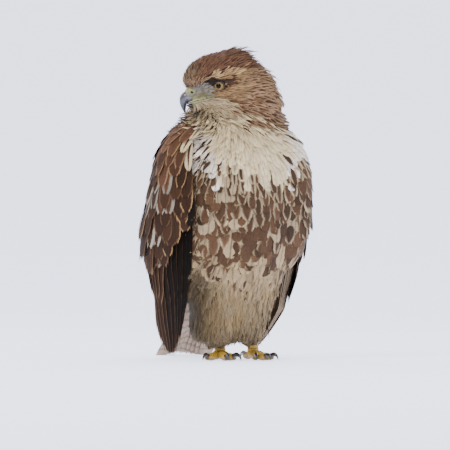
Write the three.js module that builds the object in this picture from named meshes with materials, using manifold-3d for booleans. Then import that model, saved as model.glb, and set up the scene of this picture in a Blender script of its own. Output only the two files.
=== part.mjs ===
// A life-size red-tailed hawk standing upright with its head turned to its right.
// Millimetres, +Z up. The bird's breast faces -Y and its right side is at -X.
import * as THREE from "three";
import { mergeVertices } from "three/addons/utils/BufferGeometryUtils.js";
import Module from "manifold-3d";

const wasm = await Module();
wasm.setup();

// Driving dimensions
const gap = 0.3; // clearance between touching pieces
const eyeHeight = 341; // centre of the eye above the floor
const headTurn = 97; // degrees from the breast's direction to the bird's right
const headMiddle = [-18.9, -11]; // where the midline lies between the eyes, in plan
const eyeSpread = 21; // from the midline to the eye's centre
const eyeRadius = 8.5;
const eyeForward = 30; // degrees that the eye looks ahead of straight sideways
const bodyRingSides = 22;
const headRingSides = 22;
const ankles = { right: [-10, -3], left: [33, -4] };
const toeRadius = 4.1;
const tailLength = 196; // from under the rump to the tip
const tailFeathers = 12;
const vaneThickness = 0.8;
const featherSeed = 23;

// Numbers and points
const radians = (degrees) => (degrees * Math.PI) / 180;
const mix = (a, b, k) => a + (b - a) * k;
const mixPoint = (a, b, k) => a.map((v, i) => mix(v, b[i], k));
const clamp01 = (k) => Math.min(1, Math.max(0, k));

// A smooth value through a list of rows, each a list of numbers, with k from 0 to 1 along the list.
function alongRows(rows, k) {
  const place = clamp01(k) * (rows.length - 1);
  const i = Math.min(Math.floor(place), rows.length - 2);
  const f = place - i;
  const at = (j) => rows[Math.min(Math.max(j, 0), rows.length - 1)];
  return at(i).map((b, c) => {
    const before = at(i - 1)[c];
    const after = at(i + 1)[c];
    const last = at(i + 2)[c];
    const bend = 2 * before - 5 * b + 4 * after - last;
    const twist = 3 * b - before - 3 * after + last;
    return b + 0.5 * f * (after - before + f * (bend + f * twist));
  });
}

// Repeatable random numbers from -1 to 1.
function seededRandom(seed) {
  let state = seed;
  return () => {
    state = (state * 16807) % 2147483647;
    return (2 * state) / 2147483647 - 1;
  };
}

// Closed meshes and solids

// A closed geometry through rings of equal length, with flat ends.
function closedLoft(rings) {
  const sides = rings[0].length;
  const positions = rings.flat(2);
  const faces = [];
  for (let r = 0; r + 1 < rings.length; r++) {
    for (let i = 0; i < sides; i++) {
      const a = r * sides + i;
      const b = r * sides + ((i + 1) % sides);
      faces.push(a, b, b + sides, a, b + sides, a + sides);
    }
  }
  const top = (rings.length - 1) * sides;
  for (let i = 1; i + 1 < sides; i++) {
    faces.push(0, i + 1, i, top, top + i, top + i + 1);
  }
  const geometry = new THREE.BufferGeometry();
  geometry.setAttribute("position", new THREE.Float32BufferAttribute(positions, 3));
  geometry.setIndex(faces);
  return geometry;
}

// A solid from a closed indexed geometry, turned to face outwards whichever way it was wound.
function solidOf(geometry) {
  const position = geometry.getAttribute("position");
  const index = Array.from(geometry.getIndex().array);
  const corner = [new THREE.Vector3(), new THREE.Vector3(), new THREE.Vector3()];
  let volume = 0;
  for (let i = 0; i < index.length; i += 3) {
    corner.forEach((v, j) => v.fromBufferAttribute(position, index[i + j]));
    volume += corner[0].dot(corner[1].cross(corner[2]));
  }
  if (volume < 0) index.reverse();
  return new wasm.Manifold(
    new wasm.Mesh({
      numProp: 3,
      vertProperties: new Float32Array(position.array),
      triVerts: new Uint32Array(index),
    }),
  );
}

const loft = (rings) => solidOf(closedLoft(rings));

// Joined solids, keeping only the largest closed surface.
function fuse(solids) {
  return largest(wasm.Manifold.union(solids));
}

function largest(solid) {
  return solid.decompose().reduce((a, b) => (b.volume() > a.volume() ? b : a));
}

// A ring of a rounded section: half-widths a and b on the axes u and v, squarer as power rises.
function ovalRing(centre, u, v, sizes, sides, power = 2) {
  const ring = [];
  for (let i = 0; i < sides; i++) {
    const angle = (2 * Math.PI * i) / sides;
    const c = Math.cos(angle);
    const s = Math.sin(angle);
    const du = Math.sign(c) * Math.abs(c) ** (2 / power) * (c < 0 ? sizes.low : sizes.high);
    const dv = Math.sign(s) * Math.abs(s) ** (2 / power) * sizes.side;
    ring.push(centre.map((value, j) => value + u[j] * du + v[j] * dv));
  }
  return ring;
}

// A tube whose radius and flatness change along a path of points, with the given up direction.
function limb(path, radii, options = {}) {
  const { steps = 10, sides = 10, up = [0, 0, 1], flat = 1 } = options;
  const curve = new THREE.CatmullRomCurve3(path.map((p) => new THREE.Vector3(...p)));
  const upward = new THREE.Vector3(...up);
  const rings = [];
  for (let i = 0; i <= steps; i++) {
    const k = i / steps;
    const tangent = curve.getTangent(k);
    const across = new THREE.Vector3().crossVectors(tangent, upward).normalize();
    const over = new THREE.Vector3().crossVectors(across, tangent).normalize();
    const radius = typeof radii === "function" ? radii(k) : alongRows(radii.map((r) => [r]), k)[0];
    const sizes = { low: radius * flat, high: radius * flat, side: radius };
    rings.push(ovalRing(curve.getPoint(k).toArray(), over.toArray(), across.toArray(), sizes, sides));
  }
  return loft(rings);
}

// The body: level rings from the vent up into the head
// Each row: height, middle in x, half-width, front y, back y.
const bodyRows = [
  [60, 4, 34, -20, 60],
  [68, 4, 50, -36, 78],
  [82, 3, 62, -49, 88],
  [102, 2, 72, -61, 90],
  [126, 1, 79, -72, 88],
  [152, 0, 84, -80, 83],
  [182, 0, 87, -83, 76],
  [212, 1, 87, -82, 69],
  [240, 3, 84, -77, 60],
  [264, 5, 79, -69, 52],
  [284, 8, 70, -60, 44],
  [300, 10, 60, -52, 36],
  [316, 10, 51, -47, 30],
  [332, 9, 40, -38, 22],
];
const bodyRings = 18;

function bodySolid(grow = 0) {
  const rings = [];
  for (let i = 0; i <= bodyRings; i++) {
    const [z, x, half, front, back] = alongRows(bodyRows, i / bodyRings);
    const middle = (front + back) / 2;
    const depth = (back - front) / 2 + grow;
    const end = i === 0 ? -grow : i === bodyRings ? grow : 0;
    const sizes = { low: depth, high: depth, side: half + grow };
    rings.push(ovalRing([x, middle, z + end], [0, 1, 0], [1, 0, 0], sizes, bodyRingSides, 2.15));
  }
  return loft(rings);
}

// The head, in its own axes: forward, to its left and up, from between the eyes
const headAxes = (() => {
  const turn = radians(headTurn);
  const forward = [-Math.sin(turn), -Math.cos(turn), 0];
  const left = [-forward[1], forward[0], 0];
  return { forward, left, up: [0, 0, 1] };
})();

function inHead(forward, left, up) {
  const base = [...headMiddle, eyeHeight];
  return base.map(
    (v, i) => v + headAxes.forward[i] * forward + headAxes.left[i] * left + headAxes.up[i] * up,
  );
}

// Each row: forward, top, bottom, half-width.
const headRows = [
  [39.5, 10, 5, 3],
  [38, 17, 1, 9.5],
  [34.5, 23, -3, 14],
  [30, 28, -27, 17],
  [25, 31.5, -32, 19.5],
  [16, 37.5, -36, 24],
  [4, 42, -40, 28.5],
  [-10, 45, -43, 33],
  [-26, 44.5, -45, 37],
  [-42, 38.5, -45, 38],
  [-57, 28, -44, 36],
  [-69, 16, -42, 31],
  [-78, 3, -38, 23],
  [-83, -8, -30, 12],
];
const headRings = 17;

function headSolid() {
  const rings = [];
  for (let i = 0; i <= headRings; i++) {
    const [forward, top, bottom, half] = alongRows(headRows, i / headRings);
    const middle = (top + bottom) / 2;
    const tall = (top - bottom) / 2;
    const sizes = { low: tall, high: tall, side: half };
    rings.push(
      ovalRing(inHead(forward, 0, middle), headAxes.up, headAxes.left, sizes, headRingSides, 2.3),
    );
  }
  return loft(rings);
}

// Eyes, lids and brows
const eyeSides = { left: 1, right: -1 };

function eyeAxis(side) {
  const ahead = Math.sin(radians(eyeForward));
  const out = Math.cos(radians(eyeForward)) * side;
  return headAxes.forward.map((f, i) => f * ahead + headAxes.left[i] * out);
}

const eyeCentre = (side) => inHead(-3.4, side * eyeSpread, 0);

function ball(centre, radius) {
  const sphere = new THREE.SphereGeometry(radius, 12, 8);
  sphere.translate(...centre);
  return sphere;
}

// A solid from one of three.js's own closed shapes, once its shared corners are merged.
function solidOfShape(geometry) {
  geometry.deleteAttribute("normal");
  geometry.deleteAttribute("uv");
  return solidOf(mergeVertices(geometry, 1e-4));
}

const eyeSolid = (side, grow = 0) => solidOfShape(ball(eyeCentre(side), eyeRadius + grow));

// A point in front of the eye, along the way it looks.
function beforeEye(side, distance) {
  const axis = eyeAxis(side);
  return eyeCentre(side).map((v, i) => v + axis[i] * distance);
}

// The lid is a ring round the opening of the eye, in the plane across the eye's axis.
function lidSolid(side) {
  const ring = new THREE.TorusGeometry(7.3, 1.5, 5, 14);
  const axis = new THREE.Vector3(...eyeAxis(side));
  ring.applyQuaternion(new THREE.Quaternion().setFromUnitVectors(new THREE.Vector3(0, 0, 1), axis));
  ring.translate(...beforeEye(side, 4.6));
  return solidOfShape(ring);
}

// The bony ridge that shades the eye, from the lores back over it.
function browSolid(side) {
  const path = [
    inHead(19, side * 17, 7),
    inHead(9, side * 23.5, 10),
    inHead(-2, side * 27.5, 10.5),
    inHead(-14, side * 29.5, 7),
  ];
  return limb(path, [1.5, 3.4, 3.8, 1.5], { steps: 5, sides: 7, flat: 0.7 });
}

// The shallow socket of the eye, and the hollow of the lores that runs from it to the bill.
function socketSolid(side) {
  const hollow = [
    inHead(10, side * 31, -1),
    inHead(20, side * 26, -4.5),
    inHead(28, side * 21, -7),
    inHead(42, side * 18.5, -8),
  ];
  return fuse([
    solidOfShape(ball(beforeEye(side, 17), 12)),
    limb(hollow, [8, 10.5, 11, 10], { steps: 4, sides: 10 }),
  ]);
}

// The bill
function billRing(forward, top, bottom, half, power = 2.2) {
  const sizes = { low: (top - bottom) / 2, high: (top - bottom) / 2, side: half };
  return ovalRing(inHead(forward, 0, (top + bottom) / 2), headAxes.up, headAxes.left, sizes, 14, power);
}

// The cere sits between the forehead and the horn of the bill, with a nostril on each side.
// Each row: forward, top, bottom, half-width.
const cereRows = [
  [19, -2, -17, 9],
  [26, 1, -17, 10.4],
  [32, 1.2, -16.6, 10],
  [36, -2.4, -15.6, 8.6],
];

function cereSolid(grow = 0) {
  const rings = cereRows.map(([forward, top, bottom, half], i) => {
    const end = i === 0 ? -grow : i === cereRows.length - 1 ? grow : 0;
    return billRing(forward + end, top + grow, bottom - grow, half + grow);
  });
  return loft(rings);
}

function nostrilSolid(side) {
  const tip = inHead(30.2, side * 6, -7);
  const mouth = inHead(31.6, side * 13, -7.4);
  return limb([tip, mixPoint(tip, mouth, 0.5), mouth], [1.3, 1.4, 1.5], { steps: 2, sides: 6 });
}

// The hooked upper half: each row is a point of the middle line, then the radius up and the half-width.
const hookRows = [
  [26, -12.2, 6.6, 8.4],
  [34, -12.6, 7.6, 8.2],
  [38, -15, 7, 6.9],
  [39.8, -19.5, 5.2, 5],
  [39.9, -24, 3.6, 3.3],
  [39, -28.5, 2.2, 1.9],
  [37.7, -33, 0.5, 0.5],
];

function upperBillSolid(grow = 0) {
  const steps = 12;
  const rings = [];
  for (let i = 0; i <= steps; i++) {
    const [forward, up, tall, half] = alongRows(hookRows, i / steps);
    const ahead = alongRows(hookRows, (i + 0.1) / steps);
    const behind = alongRows(hookRows, (i - 0.1) / steps);
    const run = [ahead[0] - behind[0], ahead[1] - behind[1]];
    const length = Math.hypot(...run);
    const over = [-run[1] / length, run[0] / length];
    const u = headAxes.forward.map((f, j) => f * over[0] + headAxes.up[j] * over[1]);
    const sizes = { low: tall + grow, high: tall + grow, side: half + grow };
    const end = i === 0 ? -grow : 0;
    rings.push(ovalRing(inHead(forward + end, 0, up), u, headAxes.left, sizes, 12, 2.1));
  }
  return loft(rings);
}

function lowerBillSolid(grow = 0) {
  const rows = [
    [16, -18.6, -24, 8.6],
    [26, -20.6, -26, 7.6],
    [32, -21.8, -26, 5.6],
    [35.6, -22.8, -24.4, 2.6],
  ];
  return loft(
    rows.map(([forward, top, bottom, half], i) => {
      const end = i === 0 ? -grow : i === rows.length - 1 ? grow : 0;
      return billRing(forward + end, top + grow, bottom - grow, half + grow, 2);
    }),
  );
}

// The soft yellow edge of the mouth, running back under the eye.
function gapeSolid(side) {
  const path = [
    inHead(31, side * 11.5, -19.6),
    inHead(22, side * 17.8, -18.2),
    inHead(14, side * 22.2, -16.6),
    inHead(4, side * 26.9, -14.8),
    inHead(-3, side * 30, -13.6),
  ];
  return limb(path, [1.7, 2.2, 2.2, 1.8, 0.7], { steps: 6, sides: 5, flat: 0.7 });
}

// Wings

// The folded right wing lies on this sheet, from the shoulder down to the tip.
// Each row: front edge, middle and back edge.
const wingRows = [
  [-46, -34, 288, -55, -6, 295, -24, 28, 292],
  [-67, -46, 258, -83, -6, 262, -28, 47, 258],
  [-71, -53, 214, -93.5, 6, 214, -27, 67, 210],
  [-68, -53, 168, -98, 19, 168, -27, 82, 164],
  [-64, -39, 124, -92.5, 34, 124, -27, 96, 120],
  [-57, -6, 82, -77, 56, 82, -42, 113, 80],
  [-45, 46, 42, -62, 86, 42, -50, 122, 42],
  [-34, 98, 5, -43, 117, 5, -46, 132, 6],
];

// A point of the sheet: down from 0 at the shoulder to 1 at the tip, back from 0 at the front edge to 1.
function wingPoint(down, back) {
  const row = alongRows(wingRows, down);
  const [front, middle, rear] = [row.slice(0, 3), row.slice(3, 6), row.slice(6, 9)];
  return front.map((f, i) => {
    const bulge = 2 * (middle[i] - (f + rear[i]) / 2);
    return mix(f, rear[i], back) + bulge * 2 * back * (1 - back);
  });
}

// The sheet's own directions at a point: along the wing, across it towards the back, and outwards.
function wingAxes(down, back) {
  const step = 0.01;
  const at = (d, b) => new THREE.Vector3(...wingPoint(d, b));
  const low = Math.min(down + step, 1);
  const along = at(low, back).sub(at(low - 2 * step, back)).normalize();
  const across = at(down, back + step).sub(at(down, back - step)).normalize();
  const out = new THREE.Vector3().crossVectors(across, along).normalize();
  if (out.x > 0) out.negate();
  return { along, across, out };
}

// Half-width along a feather as a share of its widest: slim quill, full vane and tapered tip.
function vaneShape(k, tipShare) {
  const quill = mix(0.55, 1, clamp01(k / 0.3));
  const tip = k < 0.72 ? 1 : mix(1, tipShare, ((k - 0.72) / 0.28) ** 1.6);
  return quill * tip;
}

// The rings of one feather on the sheet, from its root to its tip, each given as [down, back, height off the sheet].
// The front edge is raised over the feather in front of it by the tilt, and the quill is sunk into the core.
function wingVane(root, tip, halfWidth, options = {}) {
  const { steps, tilt, tipShare, sink } = options;
  const rings = [];
  for (let i = 0; i <= steps; i++) {
    const k = i / steps;
    const [down, back, level] = mixPoint(root, tip, k);
    const { across, out } = wingAxes(down, back);
    const height = i === 0 ? level - sink : level;
    const centre = new THREE.Vector3(...wingPoint(down, back)).addScaledVector(out, height);
    const half = halfWidth * vaneShape(k, tipShare);
    const rise = (tilt * half) / halfWidth;
    const front = centre.clone().addScaledVector(across, -half).addScaledVector(out, rise / 2);
    const rear = centre.clone().addScaledVector(across, half).addScaledVector(out, -rise / 2);
    const thin = vaneThickness * mix(1, 0.65, k);
    const under = (p) => p.clone().addScaledVector(out, -thin);
    rings.push([front, rear, under(rear), under(front)].map((p) => p.toArray()));
  }
  return rings;
}

// A tier of feathers in a row: count of them, from the front one to the back one, no two quite alike.
function wingTier({ count, root, tip, width, options }, tier) {
  const random = seededRandom(featherSeed + tier);
  const vanes = [];
  for (let i = 0; i < count; i++) {
    const k = i / (count - 1);
    const [down, back, height] = tip(k);
    const end = [down + 0.007 * random(), back + 0.01 * random(), height + 0.15 * random()];
    vanes.push(wingVane(root(k), end, width(k) * (1 + 0.04 * random()), options));
  }
  return vanes;
}

// How far the wing's flesh and small coverts stand off the sheet: full below the shoulder, thin lower down.
const coreHeight = (down) => (down < 0.1 ? mix(0.5, 6, down / 0.1) : mix(6, 0.4, clamp01((down - 0.1) / 0.46)));

// The rings of the wing's solid core, thick enough inwards to reach the body.
function wingCore() {
  const rings = [];
  const rows = 6;
  const columns = 4;
  const last = 0.56;
  for (let i = 0; i <= rows; i++) {
    const down = mix(0.0, last, i / rows);
    const outer = [];
    const inner = [];
    for (let j = 0; j <= columns; j++) {
      const back = j / columns;
      const { out } = wingAxes(down, Math.min(Math.max(back, 0.02), 0.98));
      const edge = Math.sin(Math.PI * mix(0.12, 0.88, back));
      const point = new THREE.Vector3(...wingPoint(down, back));
      const high = coreHeight(down) * edge;
      const deep = mix(15, 2.5, clamp01((down - 0.35) / 0.25)) * edge;
      outer.push(point.clone().addScaledVector(out, high).toArray());
      inner.push(point.clone().addScaledVector(out, -deep).toArray());
    }
    rings.push([...outer, ...inner.reverse()]);
  }
  return rings;
}

// Feather tiers, lowest first: primaries, secondaries, tertials, then the coverts and scapulars.
const primaryTips = [0.87, 0.95, 0.99, 1, 0.965, 0.91, 0.85];
const tiers = [
  {
    count: primaryTips.length,
    root: (k) => [mix(0.4, 0.46, k), mix(0.06, 0.6, k), mix(-2.6, -0.6, k)],
    tip: (k) => [
      primaryTips[Math.round(k * (primaryTips.length - 1))],
      mix(0.1, 0.92, k),
      mix(-4, 2.4, k),
    ],
    width: (k) => mix(9, 12, k),
    options: { steps: 4, tilt: 1.6, tipShare: 0.22, sink: 2.5 },
  },
  {
    count: 7,
    root: (k) => [mix(0.35, 0.37, k), mix(0.1, 0.8, k), mix(0.2, 2.2, k)],
    tip: (k) => [mix(0.74, 0.66, k), mix(0.34, 0.92, k), mix(1.4, 4.8, k)],
    width: () => 13.5,
    options: { steps: 4, tilt: 1.5, tipShare: 0.45, sink: 2.5 },
  },
  {
    count: 3,
    root: (k) => [0.34, mix(0.83, 0.93, k), mix(4.8, 6, k)],
    tip: (k) => [mix(0.64, 0.56, k), mix(0.92, 0.99, k), mix(7, 9, k)],
    width: () => 12,
    options: { steps: 3, tilt: 1.2, tipShare: 0.35, sink: 5 },
  },
  {
    count: 8,
    root: (k) => [mix(0.25, 0.27, k), mix(0.08, 0.8, k), mix(2.8, 5, k)],
    tip: (k) => [mix(0.56, 0.5, k), mix(0.1, 0.82, k), mix(3.6, 7.4, k)],
    width: () => 12.5,
    options: { steps: 3, tilt: 1.3, tipShare: 0.5, sink: 3.4 },
  },
  {
    count: 7,
    root: (k) => [0.17, mix(0.1, 0.84, k), mix(5.2, 7, k)],
    tip: (k) => [mix(0.43, 0.4, k), mix(0.1, 0.84, k), mix(6.2, 9, k)],
    width: () => 13,
    options: { steps: 2, tilt: 1.3, tipShare: 0.5, sink: 4.5 },
  },
  {
    count: 5,
    root: (k) => [mix(0.08, 0.05, k), mix(0.14, 0.7, k), mix(6.6, 8, k)],
    tip: (k) => [mix(0.3, 0.27, k), mix(0.15, 0.74, k), mix(8, 10, k)],
    width: () => 14,
    options: { steps: 2, tilt: 1.2, tipShare: 0.5, sink: 6 },
  },
  {
    count: 4,
    root: (k) => [mix(0.12, 0.09, k), mix(0.56, 0.92, k), mix(9.6, 9, k)],
    tip: (k) => [mix(0.42, 0.46, k), mix(0.64, 0.96, k), mix(11.4, 11.4, k)],
    width: () => 13,
    options: { steps: 2, tilt: 1.4, tipShare: 0.3, sink: 8 },
  },
];

// The right wing, or the left as its mirror image.
function wingSolid(side) {
  const mirror = side === "right" ? 1 : -1;
  const shapes = [wingCore(), ...tiers.flatMap(wingTier)];
  return fuse(shapes.map((rings) => loft(rings.map((ring) => ring.map(([x, y, z]) => [mirror * x, y, z])))));
}

// The tail, straight back from under the rump and down to the floor
const tailRoot = [2, 62, 112];
const tailTip = (() => {
  const drop = tailRoot[2] - 3.2;
  return [2, tailRoot[1] + Math.sqrt(tailLength ** 2 - drop ** 2), 3.2];
})();
const tailHalfSpread = [12, 30]; // of the outer feathers' middle lines, at the root and at the tip

// A point on the tail: along from 0 to 1, across in mm, and height over its top face.
function tailPoint(along, across, height) {
  const run = [0, tailTip[1] - tailRoot[1], tailTip[2] - tailRoot[2]];
  const length = Math.hypot(...run);
  const over = [0, -run[2] / length, run[1] / length];
  const sag = -7 * Math.sin(Math.PI * along);
  const arch = -0.012 * across * across;
  return tailRoot.map((v, i) => v + run[i] * along + (i === 0 ? across : 0) + over[i] * (height + sag + arch));
}

function tailVane(place) {
  const steps = 4;
  const rings = [];
  const order = Math.abs(place);
  for (let i = 0; i <= steps; i++) {
    const k = i / steps;
    const along = mix(0.12, 1 - 0.035 * order * order, k);
    const middle = place * mix(tailHalfSpread[0], tailHalfSpread[1], along);
    const half = 10.5 * vaneShape(k, 0.62);
    const height = mix(-0.6, 2.4 - 6.6 * order, mix(0.4, 1, k));
    const outward = Math.sign(place) || 1;
    const inner = middle - outward * half;
    const outer = middle + outward * half;
    const thin = mix(1.1, 0.8, k);
    rings.push([
      tailPoint(along, inner, height + 0.55),
      tailPoint(along, outer, height - 0.55),
      tailPoint(along, outer, height - 0.55 - thin),
      tailPoint(along, inner, height + 0.55 - thin),
    ]);
  }
  return loft(rings);
}

// The root of the tail under its coverts, a flat wedge that the feathers grow from.
function tailCore(grow = 0) {
  const rows = [
    [-0.06, 34, 15],
    [0.1, 34, 14],
    [0.26, 29, 9.5],
    [0.42, 21, 4.2],
    [0.52, 12, 1.6],
  ];
  const rings = [];
  for (let i = 0; i <= 6; i++) {
    const [along, half, tall] = alongRows(rows, i / 6);
    const sizes = { low: tall + grow, high: tall * 0.6 + grow, side: half + grow };
    const centre = tailPoint(along, 0, -2.5);
    const over = tailPoint(along, 0, -1.5).map((v, j) => v - centre[j]);
    rings.push(ovalRing(centre, over, [1, 0, 0], sizes, 12));
  }
  return loft(rings);
}

function tailSolid() {
  const vanes = [];
  for (let i = 0; i < tailFeathers; i++) {
    vanes.push(tailVane((i - (tailFeathers - 1) / 2) / ((tailFeathers - 1) / 2)));
  }
  return fuse([tailCore(), ...vanes]);
}

// Legs and feet
const legTops = { right: [-32, 0, 118], left: [34, 0, 118] };

// The feathered leg hangs from inside the belly to just over the toes.
function legSolid(side, grow = 0) {
  const top = legTops[side];
  const [x, y] = ankles[side];
  const path = [top, [mix(top[0], x, 0.3), y - 6, 86], [mix(top[0], x, 0.7), y - 4, 52], [x, y, 20]];
  const radii = [38, 35, 30, 18].map((r) => r + grow);
  return limb(path, radii, { steps: 8, sides: 18, up: [0, -1, 0], flat: 1 });
}

// Toes: bone length and claw length, and for each foot the direction in degrees outwards of straight ahead.
const toes = {
  inner: { reach: 33, claw: 22, turn: { right: -15, left: -12 } },
  middle: { reach: 45, claw: 19, turn: { right: 6, left: 4 } },
  outer: { reach: 34, claw: 16, turn: { right: 45, left: 26 } },
  hind: { reach: 26, claw: 25, turn: { right: 186, left: 184 } },
};

function toePoint(side, toe, reach, up) {
  const mirror = side === "right" ? -1 : 1;
  const [x, y] = ankles[side];
  const turn = radians(toe.turn[side]) * mirror;
  return [x + Math.sin(turn) * reach, y - Math.cos(turn) * reach, up];
}

// A toe lies on the floor. Raised plates cross its top, each stepping down to the next towards the ankle.
function toeSolid(side, toe) {
  const path = [
    toePoint(side, toe, 0, 9),
    toePoint(side, toe, toe.reach * 0.35, 6),
    toePoint(side, toe, toe.reach * 0.7, 3.6),
    toePoint(side, toe, toe.reach, 4.6),
  ];
  const curve = new THREE.CatmullRomCurve3(path.map((p) => new THREE.Vector3(...p)));
  const plates = Math.round(toe.reach / 8);
  const rings = [];
  for (let i = 0; i < plates; i++) {
    for (const [share, raised] of [[0.1, 1], [0.92, 0.2]]) {
      const k = (i + share) / plates;
      const radius = toeRadius * mix(1.12, 0.82, k) * (1 + 0.06 * Math.cos(k * 6 * Math.PI));
      const ahead = curve.getTangent(k);
      const across = new THREE.Vector3(0, 0, 1).cross(ahead).normalize();
      const over = new THREE.Vector3().crossVectors(ahead, across).normalize();
      const sizes = { low: radius, high: radius + raised, side: radius };
      rings.push(ovalRing(curve.getPoint(k).toArray(), over.toArray(), across.toArray(), sizes, 8));
    }
  }
  return loft(rings);
}

function footSolid(side) {
  const [x, y] = ankles[side];
  const tarsus = limb([[x, y, 46], [x, y, 26], [x, y + 0.5, 7]], [6, 5.6, 6.6], {
    steps: 3,
    sides: 8,
    up: [0, 1, 0],
  });
  const foot = fuse([tarsus, ...Object.values(toes).map((toe) => toeSolid(side, toe))]);
  return largest(foot.trimByPlane([0, 0, 1], 0));
}

// A claw leaves the toe's end, arches over and comes down to a point just off the floor.
function clawSolid(side, toe) {
  const start = toe.reach - 1.4;
  const path = [
    toePoint(side, toe, start, 5),
    toePoint(side, toe, start + toe.claw * 0.34, 7.6),
    toePoint(side, toe, start + toe.claw * 0.68, 6),
    toePoint(side, toe, start + toe.claw * 0.86, 0.9),
  ];
  const base = toe.claw > 20 ? 2.9 : 2.5;
  return limb(path, [base, base * 0.84, base * 0.5, 0.35], { steps: 6, sides: 6, flat: 1.1 });
}

// A claw's root, swollen by the gap, to be cut out of its toe.
function clawSocket(side, toe) {
  const start = toe.reach - 1.4;
  const path = [
    toePoint(side, toe, start - gap, 4.8),
    toePoint(side, toe, start + toe.claw * 0.34, 7.6),
    toePoint(side, toe, start + toe.claw * 0.6, 7),
  ];
  const base = (toe.claw > 20 ? 2.9 : 2.5) + gap;
  return limb(path, [base, base, base], { steps: 3, sides: 6, flat: 1.1 });
}

// Parting the whole bird into its pieces

// Two sides of a thin cut, through a point and across a direction.
function part(solid, point, direction) {
  const across = new THREE.Vector3(...direction).normalize();
  const offset = across.dot(new THREE.Vector3(...point));
  const normal = across.toArray();
  const back = across.clone().negate().toArray();
  return {
    above: largest(solid.trimByPlane(normal, offset + gap / 2)),
    below: largest(solid.trimByPlane(back, -(offset - gap / 2))),
  };
}

function buildPieces() {
  const pieces = {};
  const whole = fuse([bodySolid(), headSolid()]);
  const chin = inHead(32, 0, -37);
  const nape = inHead(-78, 0, -14);
  const slope = nape.map((v, i) => v - chin[i]);
  const headCut = new THREE.Vector3(...slope).cross(new THREE.Vector3(...headAxes.left));
  if (headCut.z < 0) headCut.negate();
  const top = part(whole, chin, headCut.toArray());
  const lower = part(top.below, [0, 0, 286], [0, -0.12, 1]);

  let head = top.above;
  pieces.cere = cereSolid();
  pieces.bill_upper = upperBillSolid();
  pieces.bill_lower = lowerBillSolid();
  for (const [name, side] of Object.entries(eyeSides)) {
    pieces["eye_" + name] = eyeSolid(side);
    pieces.cere = pieces.cere.subtract(nostrilSolid(side));
    head = head.subtract(socketSolid(side));
  }
  for (const side of Object.values(eyeSides)) {
    head = fuse([head, lidSolid(side), browSolid(side), gapeSolid(side)]);
    head = head.subtract(eyeSolid(side, gap));
  }
  head = head.subtract(cereSolid(gap)).subtract(upperBillSolid(gap)).subtract(lowerBillSolid(gap));
  pieces.head = largest(head);
  pieces.cere = largest(pieces.cere.subtract(upperBillSolid(gap)));
  pieces.bill_lower = largest(pieces.bill_lower.subtract(upperBillSolid(gap)).subtract(cereSolid(gap)));
  pieces.neck = lower.above;

  const bodyRoom = bodySolid(gap);
  pieces.torso = lower.below;
  pieces.tail = largest(tailSolid().subtract(bodyRoom).trimByPlane([0, 0, 1], 0));

  for (const side of ["right", "left"]) {
    const legRoom = legSolid(side, gap);
    pieces["wing_" + side] = largest(wingSolid(side).subtract(bodyRoom).subtract(legRoom));
    pieces["leg_" + side] = largest(legSolid(side).subtract(bodyRoom));
    let foot = footSolid(side).subtract(legRoom);
    for (const [name, toe] of Object.entries(toes)) {
      pieces["claw_" + side + "_" + name] = clawSolid(side, toe);
      foot = foot.subtract(clawSocket(side, toe));
    }
    pieces["foot_" + side] = largest(foot);
  }
  pieces.leg_left = largest(pieces.leg_left.subtract(legSolid("right", gap)));
  return pieces;
}

// Colours and finishes
const finishes = {
  head: { color: 0x7a5a42, roughness: 0.9, metalness: 0 },
  neck: { color: 0x9a7f63, roughness: 0.9, metalness: 0 },
  torso: { color: 0xcfc2a8, roughness: 0.95, metalness: 0 },
  wing: { color: 0x4e382b, roughness: 0.8, metalness: 0 },
  tail: { color: 0x9b6a4c, roughness: 0.8, metalness: 0 },
  leg: { color: 0xd8cbb0, roughness: 0.95, metalness: 0 },
  foot: { color: 0xd2a52a, roughness: 0.6, metalness: 0 },
  claw: { color: 0x1f1d1e, roughness: 0.35, metalness: 0 },
  cere: { color: 0xb7b86a, roughness: 0.5, metalness: 0 },
  bill: { color: 0x45464e, roughness: 0.3, metalness: 0 },
  eye: { color: 0xc9a455, roughness: 0.05, metalness: 0 },
};

// The mesh holds 32-bit numbers, so the largest surface is taken once more after the rounding.
function meshOf(name, solid) {
  const { vertProperties, triVerts, numProp } = largest(new wasm.Manifold(solid.getMesh())).getMesh();
  const points = [];
  for (let i = 0; i < vertProperties.length; i += numProp) {
    points.push(vertProperties[i], vertProperties[i + 1], vertProperties[i + 2]);
  }
  const geometry = new THREE.BufferGeometry();
  geometry.setAttribute("position", new THREE.Float32BufferAttribute(points, 3));
  geometry.setIndex(Array.from(triVerts));
  geometry.computeVertexNormals();
  const mesh = new THREE.Mesh(geometry, new THREE.MeshStandardMaterial(finishes[name.split("_")[0]]));
  mesh.name = name;
  return mesh;
}

const hawk = new THREE.Group();
for (const [name, solid] of Object.entries(buildPieces())) hawk.add(meshOf(name, solid));

// The origin is on the floor under the middle of the whole bird's box.
const box = new THREE.Box3().setFromObject(hawk);
const middle = box.getCenter(new THREE.Vector3());
hawk.position.set(-middle.x, -middle.y, 0);

export default hawk;
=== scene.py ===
import math

import bmesh
import bpy
import numpy as np
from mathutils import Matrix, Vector
from mathutils.bvhtree import BVHTree
from mathutils.kdtree import KDTree


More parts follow.
